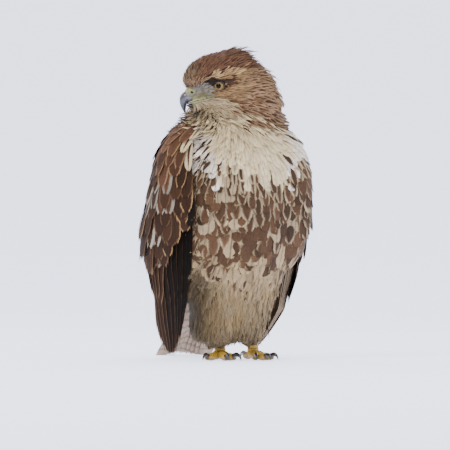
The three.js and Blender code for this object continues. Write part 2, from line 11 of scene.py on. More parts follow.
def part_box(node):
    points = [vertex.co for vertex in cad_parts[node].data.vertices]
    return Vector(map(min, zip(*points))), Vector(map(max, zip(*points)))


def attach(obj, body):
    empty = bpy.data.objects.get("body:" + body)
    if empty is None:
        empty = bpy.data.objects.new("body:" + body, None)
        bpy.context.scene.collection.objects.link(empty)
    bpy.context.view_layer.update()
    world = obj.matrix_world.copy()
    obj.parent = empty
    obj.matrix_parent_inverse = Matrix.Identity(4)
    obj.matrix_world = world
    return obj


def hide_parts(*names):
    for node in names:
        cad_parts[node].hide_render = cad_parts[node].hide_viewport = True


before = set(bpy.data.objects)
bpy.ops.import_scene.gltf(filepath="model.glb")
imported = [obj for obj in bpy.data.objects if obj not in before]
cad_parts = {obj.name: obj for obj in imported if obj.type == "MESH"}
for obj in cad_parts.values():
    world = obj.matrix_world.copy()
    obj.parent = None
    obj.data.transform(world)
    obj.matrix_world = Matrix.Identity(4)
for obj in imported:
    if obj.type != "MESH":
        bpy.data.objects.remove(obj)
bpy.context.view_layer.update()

scene = bpy.context.scene
dice = np.random.default_rng(11)

# The hawk's own frame is in millimetres, breast towards -Y, its right side at -X, floor at z 0.
head = {
    "eyeHeight": 341.0,
    "turn": 97.0,            # degrees from the breast's direction to the bird's right
    "middle": (-18.9, -11.0),
    "eye": (-3.4, 21.0, 0.0),  # forward, to the side, up
    "eyeRadius": 8.5,
    "eyeForward": 30.0,      # degrees that the eye looks ahead of straight sideways
    "skull": (-24, 0, 2),    # the ball of the head, and the middle of the bill's root
    "billRoot": (24, 0, -8),
}
headTurn = math.radians(head["turn"])
headForward = np.array([-math.sin(headTurn), -math.cos(headTurn), 0.0])
headLeft = np.array([-headForward[1], headForward[0], 0.0])
headUp = np.array([0.0, 0.0, 1.0])
headBase = np.array([*head["middle"], head["eyeHeight"]])


def inHead(forward, left, up):
    # a place, or one for each number of a row
    along = np.multiply.outer(forward, headForward)
    return headBase + along + np.multiply.outer(left, headLeft) + np.multiply.outer(up, headUp)


def toHead(points):
    away = points - headBase
    return away @ headForward, away @ headLeft, away[..., 2]


skull, billRoot = inHead(*head["skull"]), inHead(*head["billRoot"])

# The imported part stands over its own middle, so the left eye tells how far it was moved.
eyeLow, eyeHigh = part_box("eye_left")
moved = np.array((eyeLow + eyeHigh) / 2) * 1000 - inHead(*head["eye"])


# Numbers

def unit(v):
    return v / np.maximum(np.linalg.norm(v, axis=-1, keepdims=True), 1e-9)


def mix(a, b, k):
    return a + (b - a) * k


def ease(x, low, high):
    k = np.clip((x - low) / (high - low), 0, 1)
    return k * k * (3 - 2 * k)


def within(x, low, high):
    return (x > low) & (x < high)


def hump(x, middle, width):
    return np.exp(-((x - middle) / width) ** 2)


def distance(points, middle):
    return np.linalg.norm(points - middle, axis=1)


def alongRows(rows, k):
    # a smooth curve through the rows
    rows = np.asarray(rows, float)
    place = np.clip(np.asarray(k, float), 0, 1) * (len(rows) - 1)
    i = np.minimum(place.astype(int), len(rows) - 2)
    f = (place - i)[..., None]
    a, b, c, d = (rows[np.clip(i + step, 0, len(rows) - 1)] for step in (-1, 0, 1, 2))
    return b + 0.5 * f * (c - a + f * (2 * a - 5 * b + 4 * c - d + f * (3 * b - a - 3 * c + d)))


def tone(text):
    # a colour as it is written, turned to the light that Blender counts in
    parts = [int(text[i:i + 2], 16) / 255 for i in (1, 3, 5)]
    return np.array([c / 12.92 if c < 0.04045 else ((c + 0.055) / 1.055) ** 2.4 for c in parts])


# Meshes

def newMesh(name, points, faces, uvs=None, values=None):
    # faces: index arrays, each of one number of corners; uvs and values: numbers per vertex by name
    mesh = bpy.data.meshes.new(name)
    points = (np.asarray(points).reshape(-1, 3) + moved) * 0.001
    corners = np.concatenate([f.ravel() for f in faces])
    sizes = np.concatenate([np.full(len(f), f.shape[1]) for f in faces])
    mesh.vertices.add(len(points))
    mesh.vertices.foreach_set("co", points.ravel())
    mesh.loops.add(len(corners))
    mesh.loops.foreach_set("vertex_index", corners.astype(np.int32))
    mesh.polygons.add(len(sizes))
    starts = np.concatenate([[0], np.cumsum(sizes)[:-1]])
    mesh.polygons.foreach_set("loop_start", starts.astype(np.int32))
    mesh.polygons.foreach_set("use_smooth", np.ones(len(sizes), bool))
    mesh.update(calc_edges=True)
    for label, pairs in (uvs or {}).items():
        layer = mesh.uv_layers.new(name=label)
        layer.data.foreach_set("uv", pairs.reshape(-1, 2)[corners].ravel())
    for label, numbers in (values or {}).items():
        paint(mesh, label, numbers)
    return mesh


def paint(mesh, label, numbers):
    # a number or a colour for each vertex
    if numbers.ndim == 1:
        mesh.attributes.new(label, "FLOAT", "POINT").data.foreach_set("value", numbers)
    else:
        full = np.concatenate([numbers, np.ones((len(numbers), 1))], 1)
        mesh.attributes.new(label, "FLOAT_COLOR", "POINT").data.foreach_set("color", full.ravel())


def read(items, label, width, kind=float):
    # what the mesh holds under that label, one row for each item
    numbers = np.empty(len(items) * width, kind)
    items.foreach_get(label, numbers)
    return numbers.reshape(-1, width)


def place(name, mesh, finish, slot, replaces=()):
    thing = bpy.data.objects.new(name, mesh)
    scene.collection.objects.link(thing)
    mesh.materials.append(finishes[finish])
    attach(thing, "root")
    if replaces:
        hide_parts(*replaces)
    return thing


def placeSolid(name, body, finish, slot, replaces=(), tint=None, uvs=None):
    # closed shells, each turned to face out, in one colour or one for each vertex
    points, faces = body
    tints = {} if tint is None else {"tint": np.broadcast_to(tint, (len(points), 3))}
    mesh = newMesh(name, points, faces, uvs, tints)
    shells = bmesh.new()
    shells.from_mesh(mesh)
    bmesh.ops.recalc_face_normals(shells, faces=shells.faces)
    shells.to_mesh(mesh)
    shells.free()
    place(name, mesh, finish, slot, replaces)


def gridFaces(rows, columns, closed=False):
    # quads over a grid of points, row by row, joined round where closed
    r, c = np.meshgrid(np.arange(rows - 1), np.arange(columns if closed else columns - 1), indexing="ij")
    a, b = (r * columns + c).ravel(), (r * columns + (c + 1) % columns).ravel()
    return np.stack([a, b, b + columns, a + columns], 1)


def turnsOf(sides):
    return np.linspace(0, 2 * np.pi, sides, endpoint=False)


def lofted(rings):
    # a closed skin through rings of points, its ends fanned to their middles
    rings = np.asarray(rings)
    rows, sides = rings.shape[:2]
    points = np.concatenate([rings.reshape(-1, 3), rings[:1].mean(1), rings[-1:].mean(1)])
    i = np.arange(sides)
    j = (i + 1) % sides
    start = (rows - 1) * sides
    first = np.stack([j, i, np.full(sides, rows * sides)], 1)
    last = np.stack([start + i, start + j, np.full(sides, rows * sides + 1)], 1)
    return points, [gridFaces(rows, sides, True), np.concatenate([first, last])]


def ovals(centres, u, v, low, high, side, sides, power=2.0):
    # rounded sections about centres, on the axes u and v
    c, s = np.cos(turnsOf(sides)), np.sin(turnsOf(sides))
    rounded = lambda x: np.sign(x) * np.abs(x) ** (2 / power)
    du = np.where(c < 0, low[:, None], high[:, None]) * rounded(c)
    dv = side[:, None] * rounded(s)
    u, v = (np.broadcast_to(axis, centres.shape) for axis in (u, v))
    return centres[:, None] + u[:, None] * du[..., None] + v[:, None] * dv[..., None]


def tube(path, radii, steps, sides, up=(0, 0, 1), flat=1.0):
    k = np.linspace(0, 1, steps)
    line = alongRows(path, k)
    tangent = unit(np.gradient(line, axis=0))
    across = unit(np.cross(tangent, np.asarray(up, float)))
    over = unit(np.cross(across, tangent))
    radius = alongRows(np.asarray(radii, float)[:, None], k)[:, 0]
    return lofted(ovals(line, over, across, radius * flat, radius * flat, radius, sides))


# Materials

def newGroup(name, inputs, outputs):
    group = bpy.data.node_groups.new(name, "ShaderNodeTree")
    for label, kind, value in inputs:
        socket = group.interface.new_socket(name=label, in_out="INPUT", socket_type="NodeSocket" + kind)
        if value is not None:
            socket.default_value = value
    for label, kind in outputs:
        group.interface.new_socket(name=label, in_out="OUTPUT", socket_type="NodeSocket" + kind)
    return group, group.nodes.new("NodeGroupInput").outputs, group.nodes.new("NodeGroupOutput").inputs


def node(tree, kind, settings=None, **inputs):
    # a node with its settings, its inputs given as numbers or as the outputs that feed them
    made = tree.nodes.new(kind)
    for label, value in (settings or {}).items():
        setattr(made, label, value)
    for label, value in inputs.items():
        key = int(label[1:]) if label[0] == "i" and label[1:].isdigit() else label.replace("_", " ")
        if isinstance(value, bpy.types.NodeSocket):
            tree.links.new(value, made.inputs[key])
        else:
            made.inputs[key].default_value = (*tone(value), 1) if isinstance(value, str) else value
    return made.outputs[0]


def sums(tree, operation, a, b=0.0):
    return node(tree, "ShaderNodeMath", {"operation": operation}, i0=a, i1=b)


def arithmetic(tree):
    # times, plus and minus, as short words for one tree's Math nodes
    return [lambda a, b, way=way: sums(tree, way, a, b) for way in ("MULTIPLY", "ADD", "SUBTRACT")]


def noise(tree, spot, scale, detail, roughness):
    # spot: a vector, or its three parts
    if isinstance(spot, tuple):
        spot = node(tree, "ShaderNodeCombineXYZ", i0=spot[0], i1=spot[1], i2=spot[2])
    return node(tree, "ShaderNodeTexNoise", Vector=spot, Scale=scale, Detail=detail, Roughness=roughness)


def parted(tree, vector):
    return node(tree, "ShaderNodeSeparateXYZ", i0=vector).node.outputs


def blendColour(tree, share, a, b, way="MIX"):
    made = node(tree, "ShaderNodeMix", {"data_type": "RGBA", "blend_type": way}, i0=share, i6=a, i7=b)
    return made.node.outputs[2]


def shaded(tree, colour, shade):
    grey = node(tree, "ShaderNodeCombineColor", i0=shade, i1=shade, i2=shade)
    return blendColour(tree, 1.0, colour, grey, "MULTIPLY")


def ramp(tree, value, low, high):
    return node(tree, "ShaderNodeMapRange", {"interpolation_type": "SMOOTHSTEP"}, i0=value, i1=low, i2=high)


vaneLook = {
    "slant": 0.22,           # how far the barbs run back towards the vane's edges
    "barbs": (1.6, 2.0, 0.6),   # scale, detail and roughness of the noise that draws them
    "clouds": (1.3, 2.0, 0.5),
    "clarity": (0.55, 0.5),  # how much barbs and clouds darken or lighten the vane
    "shades": (0.72, 1.24),  # the darkest and the palest of that
    "darkened": 0.55,        # the marking's colour towards black, for the shaft and the bars
    "bars": 0.7,             # how far the bars are darkened
    "rib": (0.065, 0.02),    # where the shaft starts to show and where it is full, across the vane
    "relief": 0.8,           # of barbs and shaft, as a share of the material's
}


def buildVaneGroup():
    # one feather's colours: a marking along the shaft, barbs that slant to the edges, a shaft
    group, given, result = newGroup(
        "vaneMarkings",
        [("Vane", "Vector", None), ("Ground", "Color", None), ("Marking", "Color", None),
         ("Form", "Vector", None), ("Odd", "Float", 0.0), ("Barbs", "Float", 30.0),
         ("Shaft", "Float", 0.4), ("Bars", "Float", 0.0), ("Blur", "Float", 0.08)],
        [("Color", "Color"), ("Height", "Float")],
    )
    times, plus, minus = arithmetic(group)
    spot, form = parted(group, given["Vane"]), parted(group, given["Form"])
    across, along, blur = minus(times(spot[0], 2.0), 1.0), spot[1], given["Blur"]
    side = sums(group, "ABSOLUTE", across)
    slant = minus(along, times(side, vaneLook["slant"]))
    barb = noise(group, (times(slant, given["Barbs"]), times(across, 1.2), times(given["Odd"], 57.0)),
                 *vaneLook["barbs"])
    cloud = noise(group, (across, times(along, 3.0), times(given["Odd"], 91.0)), *vaneLook["clouds"])
    # the marking swells between its start and its end
    t = node(group, "ShaderNodeMapRange", i0=along, i1=form[1], i2=form[2])
    arch = sums(group, "SINE", times(sums(group, "POWER", t, 0.74), math.pi))
    wide = times(sums(group, "POWER", arch, 0.7), form[0])
    reach = plus(minus(wide, side), times(minus(barb, 0.5), plus(0.5, blur)))
    mark = ramp(group, reach, times(blur, -1.0), blur)
    bars = sums(group, "SINE", times(along, given["Bars"]))
    barred = times(ramp(group, bars, 0.35, 0.8), ramp(group, given["Bars"], 0.0, 1.0))
    colour = blendColour(group, mark, given["Ground"], given["Marking"])
    dark = blendColour(group, vaneLook["darkened"], given["Marking"], (0.0, 0.0, 0.0, 1))
    colour = blendColour(group, times(barred, vaneLook["bars"]), colour, dark)
    clear, cloudy = vaneLook["clarity"]
    shade = plus(times(barb, clear), times(cloud, cloudy))
    low, high = vaneLook["shades"]
    light = node(group, "ShaderNodeMapRange", i0=shade, i1=0.3, i2=0.78, i3=low, i4=high)
    colour = shaded(group, colour, light)
    rib = times(ramp(group, side, *vaneLook["rib"]), ramp(group, along, 1.0, 0.7))
    colour = blendColour(group, times(rib, given["Shaft"]), colour, dark)
    group.links.new(colour, result["Color"])
    group.links.new(plus(times(barb, vaneLook["relief"]), times(rib, vaneLook["relief"])), result["Height"])
    return group


def buildGrainGroup():
    # fine unevenness for horn and bare skin: a mottle and a relief of creases
    group, given, result = newGroup(
        "grain",
        [("Scale", "Float", 300.0), ("Depth", "Float", 0.3), ("Stretch", "Vector", (1.0, 1.0, 1.0)),
         ("Crease", "Float", 0.0)],
        [("Shade", "Float"), ("Height", "Float")],
    )
    times, plus, minus = arithmetic(group)
    spot = group.nodes.new("ShaderNodeTexCoord").outputs["Object"]
    spot = node(group, "ShaderNodeVectorMath", {"operation": "MULTIPLY"}, i0=spot, i1=given["Stretch"])
    broad = noise(group, spot, given["Scale"], 4.0, 0.6)
    fine = node(group, "ShaderNodeTexVoronoi", {"feature": "DISTANCE_TO_EDGE"}, Vector=spot,
                Scale=times(given["Scale"], 3.2))
    crease = ramp(group, fine, 0.0, 0.12)
    group.links.new(plus(times(minus(broad, 0.5), given["Depth"]), 1.0), result["Shade"])
    group.links.new(plus(times(broad, 0.85), times(crease, given["Crease"])), result["Height"])
    return group


vaneGroup = buildVaneGroup()
grainGroup = buildGrainGroup()


def newMaterial(name, roughness=0.5, specular=0.5, **plain):
    material = bpy.data.materials.new(name)
    material.use_nodes = True
    shader = material.node_tree.nodes["Principled BSDF"]
    for label, value in {"Roughness": roughness, "Specular IOR Level": specular, **plain}.items():
        shader.inputs[label.replace("_", " ")].default_value = value
    return material, material.node_tree, shader


def attribute(tree, name, output="Color"):
    return node(tree, "ShaderNodeAttribute", {"attribute_name": name}).node.outputs[output]


def grouped(tree, group, **inputs):
    return node(tree, "ShaderNodeGroup", {"node_tree": group}, **inputs).node.outputs


def finished(material, tree, shader, colour, height, relief):
    # the colour and the relief of a surface, led to its shader
    tree.links.new(colour, shader.inputs["Base Color"])
    tree.links.new(node(tree, "ShaderNodeBump", Height=height, Distance=relief), shader.inputs["Normal"])
    return material


def featherMaterial(name, barbs, shaft, relief, roughness, bars=0.0, sheen=0.1, blur=0.08, specular=0.25):
    made = newMaterial(name, roughness, specular, Sheen_Weight=sheen, Sheen_Roughness=0.4)
    tree = made[1]
    spot = node(tree, "ShaderNodeUVMap", {"uv_map": "Vane"})
    given = {"Ground": attribute(tree, "ground"), "Marking": attribute(tree, "marking"),
             "Form": attribute(tree, "form", "Vector"), "Odd": attribute(tree, "odd", "Fac")}
    vane = grouped(tree, vaneGroup, Vane=spot, Barbs=barbs, Shaft=shaft, Bars=bars, Blur=blur, **given)
    return finished(*made, vane["Color"], vane["Height"], relief)


def grained(name, roughness, scale, depth, relief, stretch=(1.0, 1.0, 1.0), crease=0.0, **plain):
    # bare skin or horn, whose colour comes from the vertices and is broken by grain
    made = newMaterial(name, roughness, **plain)
    tree = made[1]
    grain = grouped(tree, grainGroup, Scale=scale, Depth=depth, Stretch=stretch, Crease=crease)
    return finished(*made, shaded(tree, attribute(tree, "tint"), grain["Shade"]), grain["Height"], relief)


eyePlan = {
    "mapWidth": 20.0,        # mm of the eye that its map is across
    "iris": ("#6b5533", "#9c8452"),
    # rings laid over the iris in turn: where each starts and where it is full, in mm from the middle
    "rings": ((5.2, 6.1, "#4a3820"), (4.0, 3.3, "#5f4826"), (3.35, 3.1, "#020202"), (6.05, 6.3, "#0a0705")),
    "rays": 5.0,             # how finely the iris is streaked
}


def eyeMaterial():
    material, tree, shader = newMaterial("eyeGlass", 0.1, 0.06, Coat_Weight=0.14, Coat_Roughness=0.03)
    times, plus, minus = arithmetic(tree)
    spot = parted(tree, node(tree, "ShaderNodeUVMap", {"uv_map": "Iris"}))
    x, y = minus(spot[0], 0.5), minus(spot[1], 0.5)
    away = times(sums(tree, "SQRT", plus(times(x, x), times(y, y))), eyePlan["mapWidth"])
    angle = sums(tree, "ARCTAN2", y, x)
    ray = [times(sums(tree, way, angle), eyePlan["rays"]) for way in ("COSINE", "SINE")]
    fibre = noise(tree, (*ray, times(away, 0.16)), 3.4, 4.0, 0.65)
    colour = blendColour(tree, ramp(tree, fibre, 0.35, 0.7), *eyePlan["iris"])
    for start, full, ring in eyePlan["rings"]:
        colour = blendColour(tree, ramp(tree, away, start, full), colour, ring)
    tree.links.new(colour, shader.inputs["Base Color"])
    return material


# Feathers: barbs along the vane, how dark the shaft is, relief in metres, roughness.
# Skin and horn: roughness, the grain's scale and depth, relief in metres, stretch.
finishes = {
    "coat": featherMaterial("bodyFeather", 15.0, 0.16, 0.0007, 0.9, blur=0.26),
    "face": featherMaterial("faceFeather", 9.0, 0.6, 0.0003, 0.9, blur=0.2),
    "covert": featherMaterial("covertFeather", 34.0, 0.6, 0.0005, 0.8, sheen=0.04, specular=0.12),
    "flight": featherMaterial("flightFeather", 150.0, 0.9, 0.0004, 0.75, sheen=0.0, specular=0.06),
    "tail": featherMaterial("tailFeather", 150.0, 0.8, 0.0004, 0.65, bars=62.0, sheen=0.04, specular=0.18),
    "skin": grained("coatSkin", 0.95, 700.0, 0.6, 0.0003, specular=0.1),
    "bareSkin": grained("bareSkin", 0.6, 600.0, 0.5, 0.0004, crease=0.05),
    "horn": grained("billHorn", 0.24, 160.0, 0.22, 0.00006, (1.0, 1.0, 0.35), Coat_Weight=0.35),
    "scute": grained("footScale", 0.42, 330.0, 0.4, 0.0003, crease=0.3),
    "claw": grained("clawHorn", 0.28, 120.0, 0.3, 0.00008, Coat_Weight=0.25),
    "eye": eyeMaterial(),
}


# Camera, floor and light

cameraSetup = {
    "azimuth": -17.0,        # towards the bird's right of its breast
    "target": (-2.5, 0.0, 168.75),   # seen across, depth, height in mm
    "distance": 5.0,
    "lens": 320.0,
}
studio = {
    "floor": "#dde1f1",
    "floorGlow": 1.95,       # keeps the backdrop as pale as the floor under the lamps
    "floorHalf": 14.0,       # metres, as are the next three
    "floorFront": -2.0,
    "sweepStart": 4.4,       # behind the hawk, where the floor begins to rise
    "sweepRadius": 3.0,
    "sweepSteps": 24,
    "room": (0.95, 0.95, 0.97, 1),
    "roomLight": 0.85,
    "lampAim": 0.2,          # metres over the floor
    # place across, away and up, width in metres, watts and colour
    "lamps": {
        "keyLight": ((-1.3, -1.6, 1.9), 1.0, 40, (1.0, 0.96, 0.9)),
        "fillLight": ((1.9, -1.5, 1.0), 1.8, 18, (0.93, 0.96, 1.0)),
        "topLight": ((0.2, 0.5, 2.2), 1.6, 14, (1.0, 1.0, 1.0)),
        "backLight": ((-1.8, 1.2, 1.2), 1.6, 8, (0.95, 0.97, 1.0)),
    },
}


def buildStudio():
    turn = math.radians(cameraSetup["azimuth"])
    back = Vector((math.sin(turn), -math.cos(turn), 0))
    right = Vector((math.cos(turn), math.sin(turn), 0))

    def put(name, data):
        thing = bpy.data.objects.new(name, data)
        scene.collection.objects.link(thing)
        return thing

    def point(thing, spot, aim):
        thing.location = spot
        thing.rotation_mode = "QUATERNION"
        thing.rotation_quaternion = aim.to_track_quat("-Z", "Y")

    seen, depth, height = (mm * 0.001 for mm in cameraSetup["target"])
    target = right * seen - back * depth + Vector((0, 0, height)) + Vector(moved * 0.001)
    lens = bpy.data.cameras.new("camera")
    lens.lens = cameraSetup["lens"]
    lens.clip_end = 60
    scene.camera = put("camera", lens)
    point(scene.camera, target + back * cameraSetup["distance"], -back)

    # a floor that sweeps up into the backdrop
    start, radius, half = studio["sweepStart"], studio["sweepRadius"], studio["floorHalf"]
    bends = [math.pi / 2 * step / studio["sweepSteps"] for step in range(1, studio["sweepSteps"] + 1)]
    line = [(-half, 0.0), (studio["floorFront"], 0.0), (start, 0.0)]
    line += [(start + radius * math.sin(bend), radius * (1 - math.cos(bend))) for bend in bends]
    line.append((start + radius, half))
    points = []
    for away, up in line:
        for across in np.linspace(-half, half, 7):
            spot = right * float(across) - back * away + Vector((0, 0, up))
            points.append([c * 1000 for c in spot] - moved)
    mesh = newMesh("floor", points, [gridFaces(len(line), 7)])
    put("floor", mesh)
    paint = (*tone(studio["floor"]), 1)
    mesh.materials.append(newMaterial("floorPaint", 0.95, 0.1, Base_Color=paint, Emission_Color=paint,
                                      Emission_Strength=studio["floorGlow"])[0])
    for name, (spot, size, power, colour) in studio["lamps"].items():
        light = bpy.data.lights.new(name, "AREA")
        light.shape, light.size, light.energy, light.color = "DISK", size, power, colour
        across, away, up = spot
        spot = right * across - back * away + Vector((0, 0, up))
        point(put(name, light), spot, Vector((0, 0, studio["lampAim"])) - spot)
    world = bpy.data.worlds.new("paleRoom")
    world.use_nodes = True
    air = world.node_tree.nodes["Background"].inputs
    air["Color"].default_value, air["Strength"].default_value = studio["room"], studio["roomLight"]
    scene.world = world
    print("studio built")


buildStudio()


# The wings' sheet and the tail's plane, on which their feathers lie

# Each row of the right wing's sheet: front edge, middle and back edge.
wingRows = [
    [-46, -34, 288, -55, -6, 295, -24, 28, 292],
    [-67, -46, 258, -83, -6, 262, -28, 47, 258],
    [-71, -53, 214, -93.5, 6, 214, -27, 67, 210],
    [-68, -53, 168, -98, 19, 168, -27, 82, 164],
    [-64, -39, 124, -92.5, 34, 124, -27, 96, 120],
    [-57, -6, 82, -77, 56, 82, -42, 113, 80],
    [-45, 46, 42, -62, 86, 42, -50, 122, 42],
    [-34, 98, 5, -43, 117, 5, -46, 132, 6],
]


def wingPoint(down, back):
    row = alongRows(wingRows, down)
    front, middle, rear = row[..., 0:3], row[..., 3:6], row[..., 6:9]
    b = np.asarray(back, float)[..., None]
    bulge = 2 * (middle - (front + rear) / 2)
    return front + (rear - front) * b + bulge * 2 * b * (1 - b)


def wingOut(down, back):
    low = np.minimum(down + 0.01, 1.0)
    along = unit(wingPoint(low, back) - wingPoint(low - 0.02, back))
    across = unit(wingPoint(down, back + 0.01) - wingPoint(down, back - 0.01))
    out = unit(np.cross(across, along))
    return np.where(out[..., :1] > 0, -out, out)


tailRoot = np.array([2.0, 62.0, 112.0])
tailTip = np.array([2.0, 225.1, 3.2])
tailRun = tailTip - tailRoot
tailOver = np.array([0.0, -tailRun[2], tailRun[1]]) / np.linalg.norm(tailRun)
tailSag = 7.0                # mm at its middle
tailArch = 0.012             # how fast it falls off to the sides


def tailPoint(along, across, height):
    along, across, height = (np.asarray(v, float)[..., None] for v in (along, across, height))
    raised = height - tailSag * np.sin(np.pi * along) - tailArch * across ** 2
    return tailRoot + tailRun * along + np.array([1.0, 0, 0]) * across + tailOver * raised


# The body's height, middle, half-width, front and back, for telling front from back and side from side
bodyRows = np.array([
    [20, 6, 40, -30, 30], [60, 4, 52, -44, 66], [82, 3, 62, -49, 88], [102, 2, 72, -61, 90],
    [126, 1, 79, -72, 88], [152, 0, 84, -80, 83], [182, 0, 87, -83, 76], [212, 1, 87, -82, 69],
    [240, 3, 84, -77, 60], [264, 5, 79, -69, 52], [284, 8, 70, -60, 44], [300, 10, 60, -52, 36],
    [316, 10, 51, -47, 30], [332, 9, 40, -38, 22],
], float)
# Lines in the picture's plane, in mm: heights, and how far across each lies there
picture = {
    "right": (0.956, -0.292),    # the picture's rightward direction
    "wingEdge": ([17, 37, 62, 87, 112, 137, 162, 187, 212, 237, 250, 262],
                 [-57, -54.5, -50, -46, -43, -43, -46, -46, -48, -49, -54, -60]),
    "bibEdge": ([232, 246, 273, 298, 315], [-46, -53, -51, -43, -34]),
    "shoulderEdge": ([250, 262, 287, 300, 312], [-54, -57, -50, -47, -42]),
}


def seenFrom(points):
    # how far across the picture a point lies
    return picture["right"][0] * points[:, 0] + picture["right"][1] * points[:, 1]


def pastWingEdge(points):
    # how far a point lies in front of the right wing's edge
    return seenFrom(points) - np.interp(points[:, 2], *picture["wingEdge"])


def onBib(points):
    # the pale front that reaches over the right shoulder
    z = points[..., 2]
    return (seenFrom(points) > np.interp(z, *picture["bibEdge"])) & (z > 236)


def aroundBody(points):
    # how far round from the breast's middle, in degrees, the bird's left being positive
    z = points[..., 2]
    middle, half, front, back = (np.interp(z, bodyRows[:, 0], bodyRows[:, i]) for i in (1, 2, 3, 4))
    x = (points[..., 0] - middle) / half
    y = (points[..., 1] - (front + back) / 2) / ((back - front) / 2)
    return np.degrees(np.arctan2(x, -y))


# One skin over head, neck, body, legs, and the roots of wings and tail

skinPlan = {
    "flesh": ("head", "neck", "torso", "leg_right", "leg_left"),
    "swell": 0.5,            # mm, so that the pieces run into each other
    "voxel": 1.8,
    "smooth": 7,
    "faceDepth": 1.0,        # how far the coat's roots lie inside the bird's outline
    "bodyDepth": 6.0,
    "depthFade": (22, 105),  # from face to body, in mm from the bill
    "legTuck": 10.0,
    "creaseRounds": 110,
    "floor": 6.0,
    "wingEnd": 0.56,         # how far down the wing its root's core reaches
    # the fluffed feathers over both legs: height, middle, half-width, front and back
    "skirt": [[125, 7.5, 52.5, -56, 50], [95, 4.5, 52.5, -51, 48], [70, 0.5, 50, -44, 42],
              [45, -4, 46, -37, 34], [24, -5.5, 37, -29, 26]],
    # the tail's root: along it, half-width and thickness
    "tail": [[-0.06, 34, 15], [0.1, 34, 14], [0.26, 29, 9.5], [0.42, 21, 4.2], [0.5, 12, 1.8]],
    # the breast fluffed over the front of the left wing: down the wing, depth inside it, radius
    "flank": [[0.0, -12, 20], [0.1, -19, 34], [0.26, -21, 37], [0.42, -20, 35], [0.54, -18, 31],
              [0.63, -10, 14]],
    "flankBack": 0.13,
}


def wingCore(mirror):
    rings = []
    back = np.linspace(0, 1, 9)
    edge = np.sin(np.pi * mix(0.12, 0.88, back))[:, None]
    for down in np.linspace(0, skinPlan["wingEnd"], 13):
        downs = np.full(9, down)
        out, point = wingOut(downs, np.clip(back, 0.02, 0.98)), wingPoint(downs, back)
        high = mix(0.5, 6, down / 0.1) if down < 0.1 else mix(6, 0.4, min((down - 0.1) / 0.46, 1))
        deep = mix(15, 2.5, np.clip((down - 0.35) / 0.25, 0, 1))
        top = point + out * (high - 2.0) * edge
        rings.append(np.concatenate([top, (point - out * deep * edge)[::-1]]) * (mirror, 1, 1))
    return lofted(rings)


def tailCore():
    along, half, tall = alongRows(skinPlan["tail"], np.linspace(0, 1, 12)).T
    zero = np.zeros(12)
    centre = tailPoint(along, zero, zero - 2.5)
    over = tailPoint(along, zero, zero - 1.5) - centre
    return lofted(ovals(centre, over, [1.0, 0, 0], tall, tall * 0.6, half, 18))


def skirtBulk():
    z, middle, half, front, back = alongRows(skinPlan["skirt"], np.linspace(0, 1, 14)).T
    centres = np.stack([middle, (front + back) / 2, z], 1)
    deep = (back - front) / 2
    return lofted(ovals(centres, [0.0, 1, 0], [1.0, 0, 0], deep, deep, half, 30))


def flankBulk():
    downs, depths, radii = np.array(skinPlan["flank"]).T
    backs = np.full(len(downs), skinPlan["flankBack"])
    path = (wingPoint(downs, backs) + wingOut(downs, backs) * depths[:, None]) * (-1, 1, 1)
    return tube(path, radii, 20, 24, up=(0, 1, 0))


def fillCrease(mesh, points):
    # evens out the fold between the belly and the fluffed left flank
    a, b = read(mesh.edges, "vertices", 2, np.int32).T
    count = len(points)
    near = np.maximum(np.bincount(a, minlength=count) + np.bincount(b, minlength=count), 1)[:, None]
    x, y, z = points.T
    share = ease(seenFrom(points), 16, 34) * ease(z, 66, 92) * ease(z, 262, 240) * (x > 0) * ease(y, 50, 20)
    share = 0.5 * share[:, None]
    for _ in range(skinPlan["creaseRounds"]):
        total = [np.bincount(a, points[b, i], count) + np.bincount(b, points[a, i], count) for i in range(3)]
        points = points + (np.stack(total, 1) / near - points) * share
    return points


def buildSkin():
    joined = bmesh.new()
    for name in skinPlan["flesh"]:
        joined.from_mesh(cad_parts[name].data)
    for points, faces in (wingCore(1), wingCore(-1), tailCore(), skirtBulk(), flankBulk()):
        mesh = newMesh("core", points, faces)
        joined.from_mesh(mesh)
        bpy.data.meshes.remove(mesh)
    bmesh.ops.recalc_face_normals(joined, faces=joined.faces)
    joined.normal_update()
    for vertex in joined.verts:
        vertex.co += vertex.normal * (skinPlan["swell"] * 0.001)
    rough = bpy.data.meshes.new("skinRough")
    joined.to_mesh(rough)
    joined.free()
    thing = bpy.data.objects.new("skinRough", rough)
    scene.collection.objects.link(thing)
    remesh = thing.modifiers.new("remesh", "REMESH")
    remesh.mode = "VOXEL"
    remesh.voxel_size = skinPlan["voxel"] * 0.001
    soften = thing.modifiers.new("soften", "SMOOTH")
    soften.factor = 0.5
    soften.iterations = skinPlan["smooth"]
    fine = bpy.data.meshes.new_from_object(thing.evaluated_get(bpy.context.evaluated_depsgraph_get()))
    bpy.data.objects.remove(thing)
    points = read(fine.vertices, "co", 3) * 1000 - moved
    normals = read(fine.vertices, "normal", 3)
    z = points[:, 2]
    deep = ease(distance(points, billRoot), *skinPlan["depthFade"])
    depth = mix(skinPlan["faceDepth"], skinPlan["bodyDepth"], deep)
    depth = np.where(z < 60, depth * mix(0.5, 1, ease(z, 20, 60)), depth)
    # slimmer under the left wing, so that the wing shows beside the leg
    depth = depth + skinPlan["legTuck"] * ease(seenFrom(points), 26, 52) * (1 - ease(z, 62, 104))
    points = fillCrease(fine, points - normals * depth[:, None])
    points[:, 2] = np.maximum(points[:, 2], skinPlan["floor"])
    fine.vertices.foreach_set("co", ((points + moved) * 0.001).ravel())
    fine.update()
    return fine


